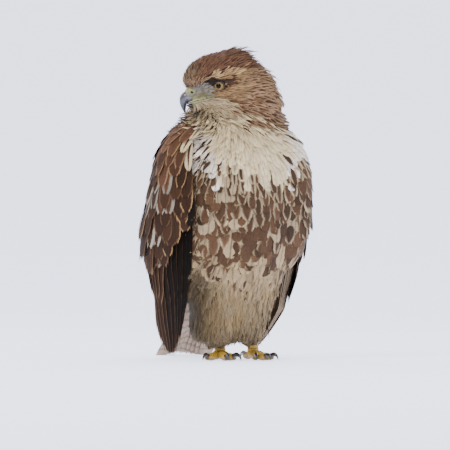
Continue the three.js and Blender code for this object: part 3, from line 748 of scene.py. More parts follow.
def surfaceOf(mesh):
    # triangles of the skin, for laying feathers on it
    mesh.calc_loop_triangles()
    points = read(mesh.vertices, "co", 3) * 1000 - moved
    corners = read(mesh.loop_triangles, "vertices", 3, np.int32)
    return {"points": points, "normals": read(mesh.vertices, "normal", 3), "corners": corners,
            "loops": read(mesh.loop_triangles, "loops", 3, np.int32),
            "tree": BVHTree.FromPolygons(points.tolist(), corners.tolist())}


def unwrapSkin(thing):
    bpy.ops.object.select_all(action="DESELECT")
    thing.select_set(True)
    bpy.context.view_layer.objects.active = thing
    thing.data.uv_layers.new(name="OFBake")
    bpy.ops.object.mode_set(mode="EDIT")
    bpy.ops.mesh.select_all(action="SELECT")
    bpy.ops.uv.smart_project(angle_limit=math.radians(72), island_margin=0.002)
    bpy.ops.object.mode_set(mode="OBJECT")
    return read(thing.data.uv_layers["OFBake"].data, "uv", 2)


# The coat: where each feather grows, how it lies, how long it is and how it is marked

def lieOfCoat(points, normals):
    forward, left, up = toHead(points)
    onHead = unit(points - billRoot) + np.array([0, 0, -0.35]) * ease(-forward, 30, 80)[:, None]
    around = np.radians(aroundBody(points))
    z = points[:, 2]
    sideways = np.stack([np.cos(around), np.sin(around), np.zeros(len(z))], 1)
    fan = 0.75 * ease(z, 215, 262) * np.clip(np.sin(around) * 1.3, -1, 1)
    lean = np.interp(seenFrom(points), [-60, -20, 12, 70], [0.95, 0.5, 0.05, 0.1])
    combed = lean * ease(z, 175, 120) * mix(0.25, 1.0, ease(z, 88, 116)) * (np.abs(around) < 1.6)
    onBody = np.array([0.0, 0.0, -1.0]) + sideways * (fan - combed)[:, None]
    onBody = onBody + np.array([0.0, 0.25, 0.0]) * ease(np.abs(around), 1.2, 2.4)[:, None]
    share = (1 - ease(distance(points, skull), 50, 88))[:, None]
    # over the eye and its brow the feathers run straight back
    brow = hump(up, 8, 4.5) * ease(forward, -17, -9) * ease(forward, 20, 13)
    onHead = unit(onHead) * (1 - brow)[:, None] + (headUp * 0.04 - headForward) * brow[:, None]
    flow = unit(onHead) * share + unit(onBody) * (1 - share)
    return unit(flow - normals * np.sum(flow * normals, 1, keepdims=True))


palette = {name: tone(value) for name, value in {
    "crown": "#3c2417", "crownEdge": "#6f4e39", "forehead": "#3a281d", "foreheadEdge": "#6f5942",
    "buff": "#ab8d64", "buffDark": "#6e5034", "rufous": "#4c3423", "dark": "#241a12",
    "cheek": "#8b6d4b", "cheekDark": "#533a26", "throat": "#ad9876", "throatDark": "#5a4533",
    "lore": "#837a6e", "olive": "#7f7d5b", "gape": "#8d8961", "napePale": "#907355", "nape": "#4b3022",
    "bib": "#dbc79e", "bibDark": "#a89370", "side": "#e5d8c5", "blot": "#402c1c", "belly": "#aa9575",
    "low": "#9a815a", "lowDark": "#4d3a23", "leg": "#998464", "back": "#33221a", "backEdge": "#6b4c32",
    "lesser": "#4d3323", "lesserEdge": "#7f6247", "covert": "#322014", "covertEdge": "#5b422d",
    "white": "#a79a88", "golden": "#96764d", "secondary": "#332013", "secondaryEdge": "#6a4f37",
    "primary": "#0e0804", "primaryEdge": "#3d2817", "under": "#685745", "underEdge": "#a79478",
    "tail": "#4c3628", "tailEdge": "#9c8268", "tailUnder": "#a99380",
}.items()}

# Each zone's two colours, the marking's width, start and end along the feather, and the share marked.
coatZones = {
    "belly": ("belly", "blot", (1.0, 0.12, 1.12), 0.86),
    "bib": ("bib", "bibDark", (0.35, 0.2, 0.98), 0.12),
    "side": ("side", "blot", (0.74, 0.12, 1.1), 0.6),
    "collar": ("bib", "nape", (0.72, -0.2, 1.0), 0.66),
    "dots": ("low", "blot", (1.3, 0.35, 0.95), 0.13),
    "low": ("low", "lowDark", (0.9, -0.2, 0.8), 0.5),
    "leg": ("leg", "lowDark", (0.35, -0.2, 0.6), 0.35),
    "back": ("backEdge", "back", (1.0, -1.5, 2.2), 1.0),
    "shoulder": ("lesserEdge", "lesser", (0.98, -1.5, 2.2), 1.0),
    "nape": ("napePale", "nape", (0.78, -0.3, 0.98), 0.92),
    "crown": ("crownEdge", "crown", (0.8, -0.3, 1.0), 0.86),
    "forehead": ("foreheadEdge", "forehead", (0.8, -0.2, 1.0), 0.72),
    "brow": ("buff", "buffDark", (0.4, 0.0, 0.9), 0.8),
    "cheek": ("cheek", "cheekDark", (0.45, -0.2, 0.92), 0.75),
    "malar": ("buffDark", "cheekDark", (0.6, -0.2, 0.98), 0.75),
    "patch": ("rufous", "dark", (0.5, -0.2, 0.8), 0.8),
    # line: feathers painted near-black as the shade under the brow, just over the eye and forward to its
    # front corner
    "line": ("dark", "dark", (0.9, -0.2, 1.0), 1.0),
    "lore": ("lore", "throatDark", (0.2, 0.0, 0.8), 0.4),
    "gape": ("olive", "throatDark", (0.2, 0.0, 0.8), 0.3),
    "throat": ("throat", "throatDark", (0.3, 0.0, 0.98), 0.85),
}
zoneNames = list(coatZones)

# How long, how wide for its length and how far apart the feathers are, by distance from the bill
coatSizes = np.array([
    [6, 3.6, 0.30, 1.15], [16, 6.0, 0.27, 1.45], [30, 11.0, 0.24, 2.1],
    [55, 17.0, 0.24, 2.9], [80, 21.0, 0.27, 3.7], [98, 23.0, 0.38, 4.6],
    [120, 27.0, 0.48, 6.0], [150, 33.0, 0.5, 7.4], [200, 36.0, 0.52, 8.4],
])
# Borders between zones: places across the picture, or back on the head, and heights
borders = {
    "blotTop": ([-60, -34, -6, 19, 51, 79, 96], [238, 247, 237, 224, 221, 228, 250]),
    "lowTop": ([-60, -30, 0, 40, 70, 100], [100, 112, 118, 120, 104, 92]),
    "brow": ([-19, -3.4, 8.8, 17.7, 28, 45], [9.5, 15.5, 19.5, 21.5, 22.5, 23]),
    "browBand": ([-19, 0, 12, 22, 34], [1.4, 4.5, 6.5, 6, 2]),
}


def inZones(zone, *names):
    return np.isin(zone, [zoneNames.index(name) for name in names])


def zoneOf(points, stray):
    forward, left, up = toHead(points)
    f, u = forward + stray[:, 0], up + stray[:, 1]
    z = points[:, 2] + stray[:, 1]
    seen = seenFrom(points) + stray[:, 0]
    around = aroundBody(points)
    turned, reach = np.abs(around), distance(points, skull)
    zone = np.zeros(len(points), int)

    def mark(name, where):
        zone[where] = zoneNames.index(name)

    # breast, belly and legs
    top = np.interp(seen, *borders["blotTop"]) + 6 * np.sin(seen / 6.5) + 2.5 * stray[:, 0]
    lowTop = np.interp(seen, *borders["lowTop"]) + 5 * np.sin(seen / 5.5) + 3 * stray[:, 0]
    overTail = np.sum((points - tailRoot) * tailOver, 1) > -14
    mark("bib", z > top)
    mark("side", (z > top - 14) & ((seen < -14 - 0.25 * (z - 240)) | (seen > 76) | (turned > 80)))
    mark("collar", within(z, 283, 312) & (within(seen, -50, -12) | within(seen, 24, 66)))
    mark("dots", z < lowTop)
    mark("low", (z < lowTop - 26) | ((z < lowTop) & (seen < -14)))
    mark("leg", (z < lowTop - 40) & ((seen > 22) | (seen < -34) | within(seen, -8, 8)))
    mark("leg", (z < 34) | (turned > 112))
    # back, shoulders and nape
    rear = (around > 0) | (seen < np.interp(z, *picture["shoulderEdge"]))
    mark("back", (turned > 112) & ((z > 96) | overTail))
    mark("shoulder", (z > 250) & (turned > 72) & (reach > 60) & rear)
    mark("nape", (z > 268) & (turned > 66 + 0.5 * (300 - z).clip(-60, 60)) & rear)
    # the head
    ball = (reach < 66) & (u > -36)
    rough = 2.5 * np.sin(0.9 * f + 2.0 * stray[:, 1])
    brow, band = np.interp(-f, *borders["brow"]), np.interp(-f, *borders["browBand"])
    # a band just over the eye and forward to its front corner, painted dark as the shade under the brow
    underBrowShade = within(u, 5.2, 9.6) & within(f, -11, 15)
    underBrowShade |= within(f, 4, 14.5) & (u < 9) & (u > 0.85 * (f - 6) - 1)
    for name, where in (
            ("nape", ball),
            ("crown", u > brow),
            ("forehead", (u > brow - 2) & (f + 2.2 * stray[:, 1] + 5 * np.sin(7 * u + 5 * left) > 25)),
            ("cheek", (u < brow) & (u > -17) & within(f, -34, 14)),
            ("brow", (u < brow) & (u > brow - band) & (u > 9) & (f < 18) & (f > -26 + rough)),
            ("malar", (u < -12.5 + 0.1 * f + rough) & (u > -24 + rough) & (f < -18 + 2 * rough) & (f > -50)),
            ("patch", within(f, -19, -7.5) & within(u, 0, 10)),
            ("lore", (f > 6.5) & (u < 6 - 0.2 * (f - 7)) & (u > -15)),
            ("gape", (f > 9) & (u < -8.5 + 0.3 * stray[:, 1]) & (u > -19)),
            ("line", underBrowShade)):
        mark(name, ball & where)
    # throat and collar
    chin = (u < -17 + 0.16 * np.minimum(f, 0)) & (f > -22 + 3 * rough)
    mark("throat", (reach < 84) & chin & (turned < 100) & (z > 296))
    ruff = 294 - 0.2 * (seen - 22)
    mark("nape", (reach > 56) & (z > ruff) & (z < 330) & (seen > 20) & (turned < 110))
    mark("collar", (reach > 56) & (z > 280) & (z <= ruff) & within(seen, 16, 74) & (turned < 100))
    return zone


def coatPlan(points, normals):
    # the coat's measures and colours at each point
    count = len(points)
    fromBill = distance(points, billRoot)
    z = points[:, 2]
    around = aroundBody(points)
    length, ratio, spacing = (np.interp(fromBill, coatSizes[:, 0], coatSizes[:, i]) for i in (1, 2, 3))
    shown = points + lieOfCoat(points, normals) * (0.62 * length)[:, None]
    zone = zoneOf(shown, dice.normal(0, 1, (count, 2)) * (0.11 * length)[:, None])
    belly, bare = inZones(zone, "belly"), inZones(zone, "lore", "gape", "line")
    low = inZones(zone, "low", "leg")
    hairy = (z + dice.normal(0, 12, count) < 116) | low
    loose = hairy * ease(fromBill, 100, 140)
    fine = inZones(zone, "bib", "side") & (fromBill > 90)
    length, spacing = length * np.where(belly, 0.86, 1.0), spacing * np.where(belly, 0.88, 1.0)
    ratio = ratio * np.where(bare, 0.68, 1.0)
    length, ratio, spacing = (np.where(fine, np.minimum(size, most), size)
                              for size, most in ((length, 23), (ratio, 0.5), (spacing, 5.0)))
    length = np.where(z < 60, np.minimum(length, np.interp(z, [15, 40, 60], [12, 22, 30])), length)
    spacing = mix(spacing, 2.8, loose)
    rows = list(coatZones.values())
    ground, marking = (np.array([palette[row[i]] for row in rows])[zone] for i in (0, 1))
    form, marks = np.array([row[2] for row in rows], float)[zone], np.array([row[3] for row in rows])[zone]

    # where marks are scarce
    x, height, seen = shown[:, 0], shown[:, 2], seenFrom(shown)
    beyond = pastWingEdge(shown)
    patches = np.sin(x / 9.5 + 1.7 * np.sin(z / 13.0)) * np.sin(z / 10.5 + 1.3 * np.sin(x / 15.0))
    scarce = mix(0.78, 1.25, 0.5 + 0.5 * patches) + 0.9 * (1 - ease(height, 96, 140))
    scarce = scarce * mix(1.0, 0.82, ease(seen, 20, 60))
    chance = dice.random(count) * np.where(belly, scarce, 1.0)
    chance = chance * np.where(low, 1 - 0.6 * ease(beyond, 36, 6), 1.0)
    chance = chance * np.where(inZones(zone, "side"), np.where(seen > 0, 1.5, 0.95), 1.0)
    form[:, 0] *= np.where(chance < marks, dice.uniform(0.75, 1.12, count), 0.0)
    start = dice.uniform(-0.1, 0.3, count), dice.normal(0, 0.05, count)
    form[:, 1] += np.where(inZones(zone, "belly", "side"), *start)
    form[:, 2] += np.where(belly, dice.uniform(-0.15, 0.25, count), 0.0)
    form[:, 0] *= np.where(belly, dice.uniform(0.75, 1.35, count), 1.0)
    # narrower drops along the bib's lower edge
    young = ease(np.interp(seen, *borders["blotTop"]) - height, 40, 8) * belly
    form[:, 0] *= 1 - 0.45 * young
    width = length * mix(ratio, 0.1, loose) * (1 - 0.3 * young)

    # the low coat lies in shade, most between the legs and beside the right wing
    dim = mix(0.48, 1.0, ease(height, 5, 105))
    dim = dim * (1 - 0.5 * hump(seen, 10, 7) * ease(height, 52, 26))
    beside = ease(beyond, 52, 10) * ease(height, 140, 96) * ease(height, 0, 35) * (np.abs(around) < 100)
    dim = dim * (1 - 0.85 * beside)
    ground = ground * np.where(hairy, dim, 1.0)[:, None]
    paler = 0.5 * ease(height + dice.normal(0, 6, count), 76, 118) * inZones(zone, "dots", "low", "leg")
    ground = mix(ground, palette["belly"] * dim[:, None], paler[:, None])
    uneven = np.where(inZones(zone, "bib", "throat"), 0.14, 0.3)
    uneven = np.where(fromBill < 96, uneven, np.where(loose > 0.5, 0.2, 0.12))[:, None]
    ground *= 1 + dice.uniform(-1, 1, (count, 1)) * uneven
    marking *= 1 + dice.uniform(-1, 1, (count, 1)) * (uneven + 0.1)
    marking *= np.where(belly, dice.uniform(0.8, 1.9, count), 1.0)[:, None]
    warm = 0.75 * ease(height, 165, 110) * belly
    ground = mix(ground, palette["low"] * 0.86, warm[:, None])
    ground *= np.where(belly, dice.uniform(0.75, 1.1, count), 1.0)[:, None]
    return {"length": length, "width": width, "spacing": spacing, "loose": loose, "fromBill": fromBill,
            "around": around, "zone": zone, "ground": np.clip(ground, 0, 1), "marking": marking, "form": form}


# Feather shapes: a grid of the vane, barbs that stand free along its edges, and a ragged tip

def featherShape(rows, lanes, outline, fray, first=1, leading=1.0, relative=False):
    # relative: markings are measured against the vane's own outline, so that its edge shows all round
    v = np.linspace(0, 0.97, rows + 1)
    wide = np.interp(v, *outline)
    u = np.linspace(-1, 1, 2 * lanes + 1)
    brims = np.where(u < 0, leading, 1.0)
    u = u * brims
    columns, step = len(u), v[1] - v[0]
    # each point's place across and along, how far it may stray both ways, and the vane's half-width there
    vane = [(u[i] * w, at, 0, 0, brims[i] * w) for w, at in zip(wide, v) for i in range(columns)]
    triangles = []
    for row in range(first, rows):
        for edge in (0, columns - 1):
            a, w = row * columns + edge, wide[row + 1]
            tip = rows * columns + columns + len(triangles)
            triangles.append((a + columns, a, tip) if edge else (a, a + columns, tip))
            vane.append((u[edge] * w, v[row + 1] + 0.3 * step, u[edge] * fray, 0.9 * step, brims[edge] * w))
    for lane in range(columns - 1):
        a, w = rows * columns + lane, wide[-1]
        triangles.append((a, a + 1, rows * columns + columns + len(triangles)))
        vane.append(((u[lane] + u[lane + 1]) / 2 * w, 1.0, 0, 0.07, brims[lane] * w))
    across, along, jitterU, jitterV, brim = np.array(vane).T
    return {"across": across, "along": along, "jitterU": jitterU, "jitterV": jitterV,
            "brim": brim if relative else np.ones(len(brim)), "quads": gridFaces(rows + 1, columns),
            "triangles": np.array(triangles), "count": 2 * rows * (columns - 1) + len(triangles)}


# Half-widths along the feather
bodyOutline = ([0, 0.12, 0.35, 0.6, 0.78, 0.88, 0.94, 0.97], [0.2, 0.4, 0.84, 1.0, 0.93, 0.76, 0.55, 0.4])
narrowOutline = ([0, 0.2, 0.5, 0.75, 0.97], [0.45, 0.85, 1.0, 0.7, 0.14])
covertOutline = ([0, 0.15, 0.5, 0.8, 0.92, 0.97], [0.45, 0.75, 1.0, 0.92, 0.66, 0.42])
primaryOutline = ([0, 0.2, 0.6, 0.85, 0.97], [0.5, 0.9, 1.0, 0.62, 0.16])
secondaryOutline = ([0, 0.15, 0.5, 0.85, 0.93, 0.97], [0.5, 0.85, 1.0, 0.92, 0.66, 0.4])
shapes = {
    "face": featherShape(3, 1, narrowOutline, 0.5),
    "head": featherShape(6, 1, narrowOutline, 0.6, 2),
    "body": featherShape(18, 4, bodyOutline, 0.15, 5),
    "loose": featherShape(9, 1, narrowOutline, 1.5, 2),
    "covert": featherShape(14, 2, covertOutline, 0.07, 4, 1.0, True),
    "primary": featherShape(26, 3, primaryOutline, 0.05, 6, 0.55, True),
    "secondary": featherShape(20, 3, secondaryOutline, 0.06, 5, 0.7, True),
    "tail": featherShape(26, 3, secondaryOutline, 0.05, 6, 0.8, True),
}


def layFeathers(shape, lines, half, lift, camber, twist):
    # points of every feather; lines: spine, side and out, each (feathers, stations, 3)
    form = shapes[shape]
    feathers, stations = lines[0].shape[:2]
    shake = dice.random((feathers, len(form["along"])))
    along = form["along"] + form["jitterV"] * shake
    across = form["across"] + form["jitterU"] * shake
    station = along * (stations - 1)
    i = np.clip(station.astype(int), 0, stations - 2)
    f = (station - i)[..., None]
    row = np.arange(feathers)[:, None]
    spine, side, out = (line[row, i] * (1 - f) + line[row, i + 1] * f for line in lines)
    over = unit(out)
    low, high = lift
    height = low[:, None] + (high - low)[:, None] * np.clip(along, 0, 1.1) ** 1.3
    height = height - camber * half[:, None] * across ** 2 + twist[:, None] * across
    points = spine + unit(side) * (across * half[:, None])[..., None] + over * height[..., None]
    return {"points": points, "across": across, "along": along, "over": over}


def facedOut(form, laid):
    # every face of every feather turned to the side it shows
    points, quads, triangles = laid["points"], form["quads"], form["triangles"]
    a, b, d = (points[:, quads[:, i]] for i in (0, 1, 3))
    inward = np.sum(np.cross(b - a, d - a) * laid["over"][:, quads[:, 0]], axis=(1, 2)) < 0
    flat = np.stack([laid["across"], laid["along"]], -1)
    turn = lambda p, q, r: np.cross(flat[:, q] - flat[:, p], flat[:, r] - flat[:, p])
    crossed = turn(*triangles.T) * turn(*quads[:1, [0, 1, 3]].T) < 0
    start = (np.arange(len(points)) * points.shape[1])[:, None, None]
    quads, triangles = quads[None] + start, triangles[None] + start
    quads = np.where(inward[:, None, None], quads[..., ::-1], quads)
    triangles = np.where((inward[:, None] ^ crossed)[..., None], triangles[..., ::-1], triangles)
    return [quads.reshape(-1, 4), triangles.reshape(-1, 3)]


looks = ("ground", "marking", "form")   # the two colours of a feather and its marking's form


def makeCoat(name, shape, laid, finish, slot, replaces=(), soft=0.0):
    form, across, along, bake = shapes[shape], laid["across"], laid["along"], laid["bake"]
    feathers, size = across.shape
    vane = np.stack([across / form["brim"] / 2 + 0.5, np.clip(along, 0, 1)], -1)
    if bake.shape[1] == 2:
        patch = bake[:, None] + np.stack([across * 0.0015, (along - 0.5) * 0.003], -1)
    else:
        # long feathers: a strip of the map each, given as its corner and its size
        strip = np.stack([across * 0.46 + 0.5, np.clip(along, 0, 1.05) / 1.05], -1)
        patch = bake[:, None, :2] + strip * bake[:, None, 2:]
    values = {key: np.repeat(laid[key], size, axis=0) for key in looks}
    values["odd"] = np.repeat(dice.random(feathers), size)
    maps = {"Vane": vane, "OFBake": np.clip(patch, 0, 1)}
    mesh = newMesh(name, laid["points"], facedOut(form, laid), maps, values)
    if soft:
        # lit partly as the surface beneath, so that the coat reads as one soft body
        own, under = read(mesh.vertices, "normal", 3), laid["over"].reshape(-1, 3)
        own = np.where(np.sum(own * under, 1, keepdims=True) < 0, -own, own)
        mesh.normals_split_custom_set_from_vertices(unit(own * (1 - soft) + under * soft).tolist())
    place(name, mesh, finish, slot, replaces)
    print(name, feathers, "feathers", feathers * form["count"], "triangles")


skinMesh = buildSkin()
skinUvs = unwrapSkin(place("skin", skinMesh, "skin", "body_feathers", skinPlan["flesh"]))
skin = surfaceOf(skinMesh)
print("skin", len(skin["corners"]), "triangles")


def tintSkin():
    plan = coatPlan(skin["points"], skin["normals"])
    share = np.clip(plan["form"][:, :1], 0, 1) * 0.7
    # the skin beneath takes the coat's colours, darkened as painted shade under the feathers, and darker
    # still near the head
    tint = (plan["ground"] * (1 - share) + plan["marking"] * share) * 0.8
    forward, left, up = toHead(skin["points"])
    tint = tint * mix(0.6, 1.0, ease(plan["fromBill"], 70, 100))[:, None]
    muzzle = ease(forward, 11, 16) * ease(up, 0, -4) * ease(up, -26, -23)
    bare = mix(tone("#857d72"), palette["gape"], ease(up + 0.25 * (forward - 14), -6, -11)[:, None])
    paint(skinMesh, "tint", mix(tint, bare * 0.8, muzzle[:, None]))


tintSkin()

# Nearness to the wings' sheets
sheetSteps = (64, 24)
sheetGrid = np.meshgrid(*(np.linspace(0, 1, steps) for steps in sheetSteps), indexing="ij")
sheetDown, sheetBack = (part.ravel() for part in sheetGrid)
sheetPoints = wingPoint(sheetDown, sheetBack)
sheetOut = wingOut(sheetDown, np.clip(sheetBack, 0.02, 0.98))
sheetTree = KDTree(len(sheetPoints))
for number, spot in enumerate(sheetPoints):
    sheetTree.insert(spot, number)
sheetTree.balance()


def nearWing(points):
    # height over the nearer wing's sheet, distance from it, and the place down and back on it
    folded = points * (np.where(points[:, :1] > 0, -1, 1) * (1, 0, 0) + (0, 1, 1))
    found = np.array([sheetTree.find(p)[1] for p in folded])
    off = folded - sheetPoints[found]
    return np.sum(off * sheetOut[found], 1), np.linalg.norm(off, axis=1), sheetDown[found], sheetBack[found]


def growRoots():
    # places scattered over the skin, then thinned until none stands too near another
    corners = skin["points"][skin["corners"]]
    area = np.linalg.norm(np.cross(corners[:, 1] - corners[:, 0], corners[:, 2] - corners[:, 0]), axis=1) / 2
    facing = unit(skin["normals"][skin["corners"]].mean(1))
    spacing = coatPlan(corners.mean(1), facing)["spacing"]
    weight = area / spacing ** 2
    wanted = int(weight.sum() * 3.2)
    chosen = dice.choice(len(weight), wanted, p=weight / weight.sum())
    a, b = dice.random(wanted), dice.random(wanted)
    flip = a + b > 1
    a[flip], b[flip] = 1 - a[flip], 1 - b[flip]
    shares = np.stack([1 - a - b, a, b], 1)
    points, normals, bake = (np.einsum("ij,ijk->ik", shares, field) for field in (
        corners[chosen], skin["normals"][skin["corners"][chosen]], skinUvs[skin["loops"][chosen]]))
    gaps = spacing[chosen]
    level = np.round(np.log(gaps) / np.log(1.2)).astype(int)
    steps = [(x, y, z) for x in (-1, 0, 1) for y in (-1, 0, 1) for z in (-1, 0, 1)]
    kept = []
    for one in np.unique(level):
        members = np.flatnonzero(level == one)
        room = gaps[members].mean() * 0.86
        squat = points[members] * (1, 1, 1 if room < 3.4 else 0.66)
        cells = {}
        for index, p, (x, y, z) in zip(members, squat, np.floor(squat / room).astype(int)):
            near = (q for dx, dy, dz in steps for q in cells.get((x + dx, y + dy, z + dz), ()))
            if all((p - q) @ (p - q) >= room * room for q in near):
                cells.setdefault((x, y, z), []).append(p)
                kept.append(index)
    kept = np.array(kept)
    return points[kept], unit(normals)[kept], bake[kept]


def walk(points, normals, length, stations, turn):
    # follows the lie of the coat over the skin from each root
    flow = lieOfCoat(points, normals)
    flow = flow * np.cos(turn)[:, None] + np.cross(normals, flow) * np.sin(turn)[:, None]
    spine, sides, outs = [points], [unit(np.cross(flow, normals))], [normals]
    for _ in range(stations - 1):
        step = spine[-1] + flow * (length / (stations - 1))[:, None]
        found = [skin["tree"].find_nearest(p) for p in step]
        position, facing = (np.array([f[i] for f in found]) for i in (0, 1))
        normal = unit(0.5 * outs[-1] + 0.5 * facing)
        flow = unit(flow * 0.5 + lieOfCoat(position, normal) * 0.5)
        flow = unit(flow - normal * np.sum(flow * normal, 1, keepdims=True))
        for line, value in ((spine, position), (sides, unit(np.cross(flow, normal))), (outs, normal)):
            line.append(value)
    return [np.stack(line, 1) for line in (spine, sides, outs)]


# The pieces of the coat: the feathers' shape and finish, and how far they are lit as the skin beneath
coatPieces = {
    "face": ("face", "face", 0.3), "crown": ("head", "face", 0.12), "cheek": ("head", "face", 0.12),
    "breast": ("body", "coat", 0.55), "belly": ("body", "coat", 0.55), "mantle": ("body", "coat", 0.55),
    "vent": ("loose", "coat", 0.55), "trousers": ("loose", "coat", 0.55),
}


def bareOfCoat(points, wing):
    # where a wing, an eye or the bill covers the skin, and where the coat runs up over a wing
    height, off, down, back = wing
    flank = (points[:, 0] > 0) & (back < 0.44) & (down < 0.68)
    onWing = (off < 16) & (height > -4) & (down < 0.6) & ~flank
    bare = onWing & (down > 0.06) & (back > 0.12)
    bare |= (off < 60) & (height < -8) & within(back, 0.14, 0.95) & within(down, 0.03, 0.97) & ~flank
    forward, left, up = toHead(points)
    for side in (1, -1):
        bare |= distance(points, eyeMiddle(side, 6.0)) < 7.5
    bare |= (forward > 24.8) & within(up, -19, -2) | (forward > 28) & within(up, -24, -0.8)
    bare |= (forward > -0.5) & (np.abs(up - mouthHeight(forward)) < mix(0.8, 2.6, ease(forward, 0, 12)))
    clear = mix(0.5, 7.0, ease(points[:, 2], 84, 100) * ease(points[:, 2], 172, 152))
    return bare | besideWing(points) & (pastWingEdge(points) < clear), onWing


def besideWing(points):
    return (points[:, 0] < 0) & (points[:, 2] < 240) & (np.abs(aroundBody(points)) < 110)


def growCoat():
    points, normals, bake = growRoots()
    wing = nearWing(points)
    bare, onWing = bareOfCoat(points, wing)
    keep = ~bare
    points, normals, bake, onWing = points[keep], normals[keep], bake[keep], onWing[keep]
    off, down, back = (value[keep] for value in wing[1:])
    plan = {**coatPlan(points, normals), "bake": bake}
    count, z, beyond = len(points), points[:, 2], pastWingEdge(points)
    right = points[:, 0] < 0
    shoulder = onWing & ~(right & onBib(points))
    ground, marking, plan["form"][shoulder], _ = coatZones["shoulder"]
    plan["ground"][shoulder], plan["marking"][shoulder] = palette[ground], palette[marking]
    # hair-like feathers that hang over the wing's front edge
    fringe = right & (off < 20) & (back < 0.1) & (z > 150) & (down > 0.22) & ~shoulder
    plan["loose"][fringe] = 1.0
    plan["width"][fringe] = plan["length"][fringe] * 0.14
    fromBill, loose = plan["fromBill"], plan["loose"]
    large = fromBill > 96
    length = plan["length"] * np.where(large, dice.uniform(0.62, 1.22, count), dice.uniform(0.8, 1.2, count))
    # shorter beside the right wing, so that they overlap it only a little
    close = besideWing(points)
    short = mix(mix(0.4, 0.56, ease(z, 112, 130)), 1.0, ease(beyond, 0, 26))
    length = length * np.where(close, short, 1.0)
    turn = dice.normal(0, 1, count) * np.where(large & (loose < 0.5), 0.26, 0.14) - 0.7 * fringe
    # ruffled on the crest, the nape and under the cheek, with a tuft at the back of the crown
    forward, left, up = toHead(points)
    crest = ease(up, 16, 32) * ease(-forward, -12, 20) * (1 - ease(-forward, 62, 84))
    ruff = ease(up, -16, -30) * (fromBill < 80)
    nape = ease(fromBill, 52, 76) * (fromBill < 112)
    wild = np.clip(crest + 0.7 * ruff + 0.8 * nape, 0, 1)
    tuft = hump(forward, -12, 10) * ease(up, 27, 36)
    length = length * (1 + 0.4 * tuft)
    collar = distance(points, skull)
    collar = ease(collar, 50, 58) * (1 - ease(collar, 68, 76)) * (up < -8)
    # how far each feather's tip stands off the skin
    high = np.interp(length, [2, 4, 8, 14, 20, 30], [0.7, 1.2, 2.1, 3.0, 3.4, 3.8])
    high = high * dice.uniform(0.6, 1.4, count) + wild * np.minimum(dice.gamma(1.4, 1.9, count), 8)
    flat, raised = inZones(plan["zone"], "bib") & large, inZones(plan["zone"], "line")
    high = high * np.where(flat, 0.62, 1.0) + 1.2 * raised
    high = high + loose * dice.gamma(1.2, 0.9, count) + collar * dice.uniform(0.5, 4.0, count)
    high = high + dice.uniform(0.5, 2.5, count) * (close & (beyond < 14) & within(z, 118, 215))
    # the ruff's lowest feathers stand out over the bib
    brimmed = ease(up, -22, -30) * (fromBill < 66)
    high = high + tuft * dice.uniform(1.0, 9.0, count) + brimmed * dice.uniform(1.0, 5.0, count)
    low = np.interp(length, [2, 8, 30], [0.1, 0.25, 0.6])
    twist = dice.normal(0, 0.35, count) * np.interp(length, [4, 30], [0.25, 1.0])
    smooth = np.where(length < 5.2, "face", np.where(fromBill < 92, "head", "body"))
    shape = np.where(loose > 0.5, "loose", smooth)
    rear = np.abs(plan["around"]) > 90
    halves = {"crown": up > 8, "cheek": up <= 8, "breast": ~rear & (z > 225), "belly": ~rear & (z <= 225),
              "mantle": rear, "vent": rear, "trousers": ~rear}
    for name, (kind, finish, soft) in coatPieces.items():
        where = (shape == kind) & halves.get(name, True)
        lines = walk(points[where], normals[where], length[where], 5, turn[where])
        half, lift = plan["width"][where] / 2, (low[where], high[where])
        laid = layFeathers(kind, lines, half, lift, 0.12, twist[where])
        laid["points"][..., 2] = np.maximum(laid["points"][..., 2], 4.0)
        laid.update({key: plan[key][where] for key in (*looks, "bake")})
        makeCoat("coat_" + name, kind, laid, finish, "body_feathers", soft=soft)


# Eyes

def eyeDirection(side):
    turn = math.radians(head["eyeForward"])
    return headForward * math.sin(turn) + headLeft * (side * math.cos(turn))


def eyeMiddle(side, ahead=0.0):
    forward, out, up = head["eye"]
    return inHead(forward, side * out, up) + eyeDirection(side) * ahead


lidPlan = {
    "opening": (6.3, 5.5),   # half-width and half-height of the eye's opening
    "flatter": 0.86,         # its upper half's height, as a share of the lower half's
    "slope": 0.12,
    "colour": "#2b211b",
    "outerColour": "#665a4c",
    # from the rim to under the feathers: mm out from the opening and off the ball, share of the dark colour
    "bands": ((-0.25, -0.5, 1), (0.0, 0.25, 1), (0.5, 0.65, 1), (1.1, 0.45, 0.8),
              (2.0, 0.15, 0.45), (3.4, -0.9, 0.2), (5.4, -3.2, 0.1)),
    "brow": ((14, 4.8), (10, 6.2), (6, 7.2), (1, 7.8), (-4, 7.7), (-7.5, 6.5), (-10, 4.4)),
    "browOut": -0.5,
    "browRadii": [0.2, 0.9, 1.5, 1.8, 1.6, 1.0, 0.2],
}


def onFace(side, forward, up, out=0.0, otherwise=8.0):
    # a point on the face as seen from its side, or at a given distance from the midline past its end
    far = inHead(forward, side * 60, up)
    found = skin["tree"].ray_cast(Vector(far), Vector(-headLeft * side))[0]
    left = abs(toHead(np.array(found)[None])[1][0]) if found is not None else otherwise
    return inHead(forward, side * (left + out), up)


def mouthHeight(forward):
    return np.interp(forward, [-1, 8, 16, 24, 28, 33], [-12.8, -14.3, -15.9, -17.6, -18.9, -20.6])


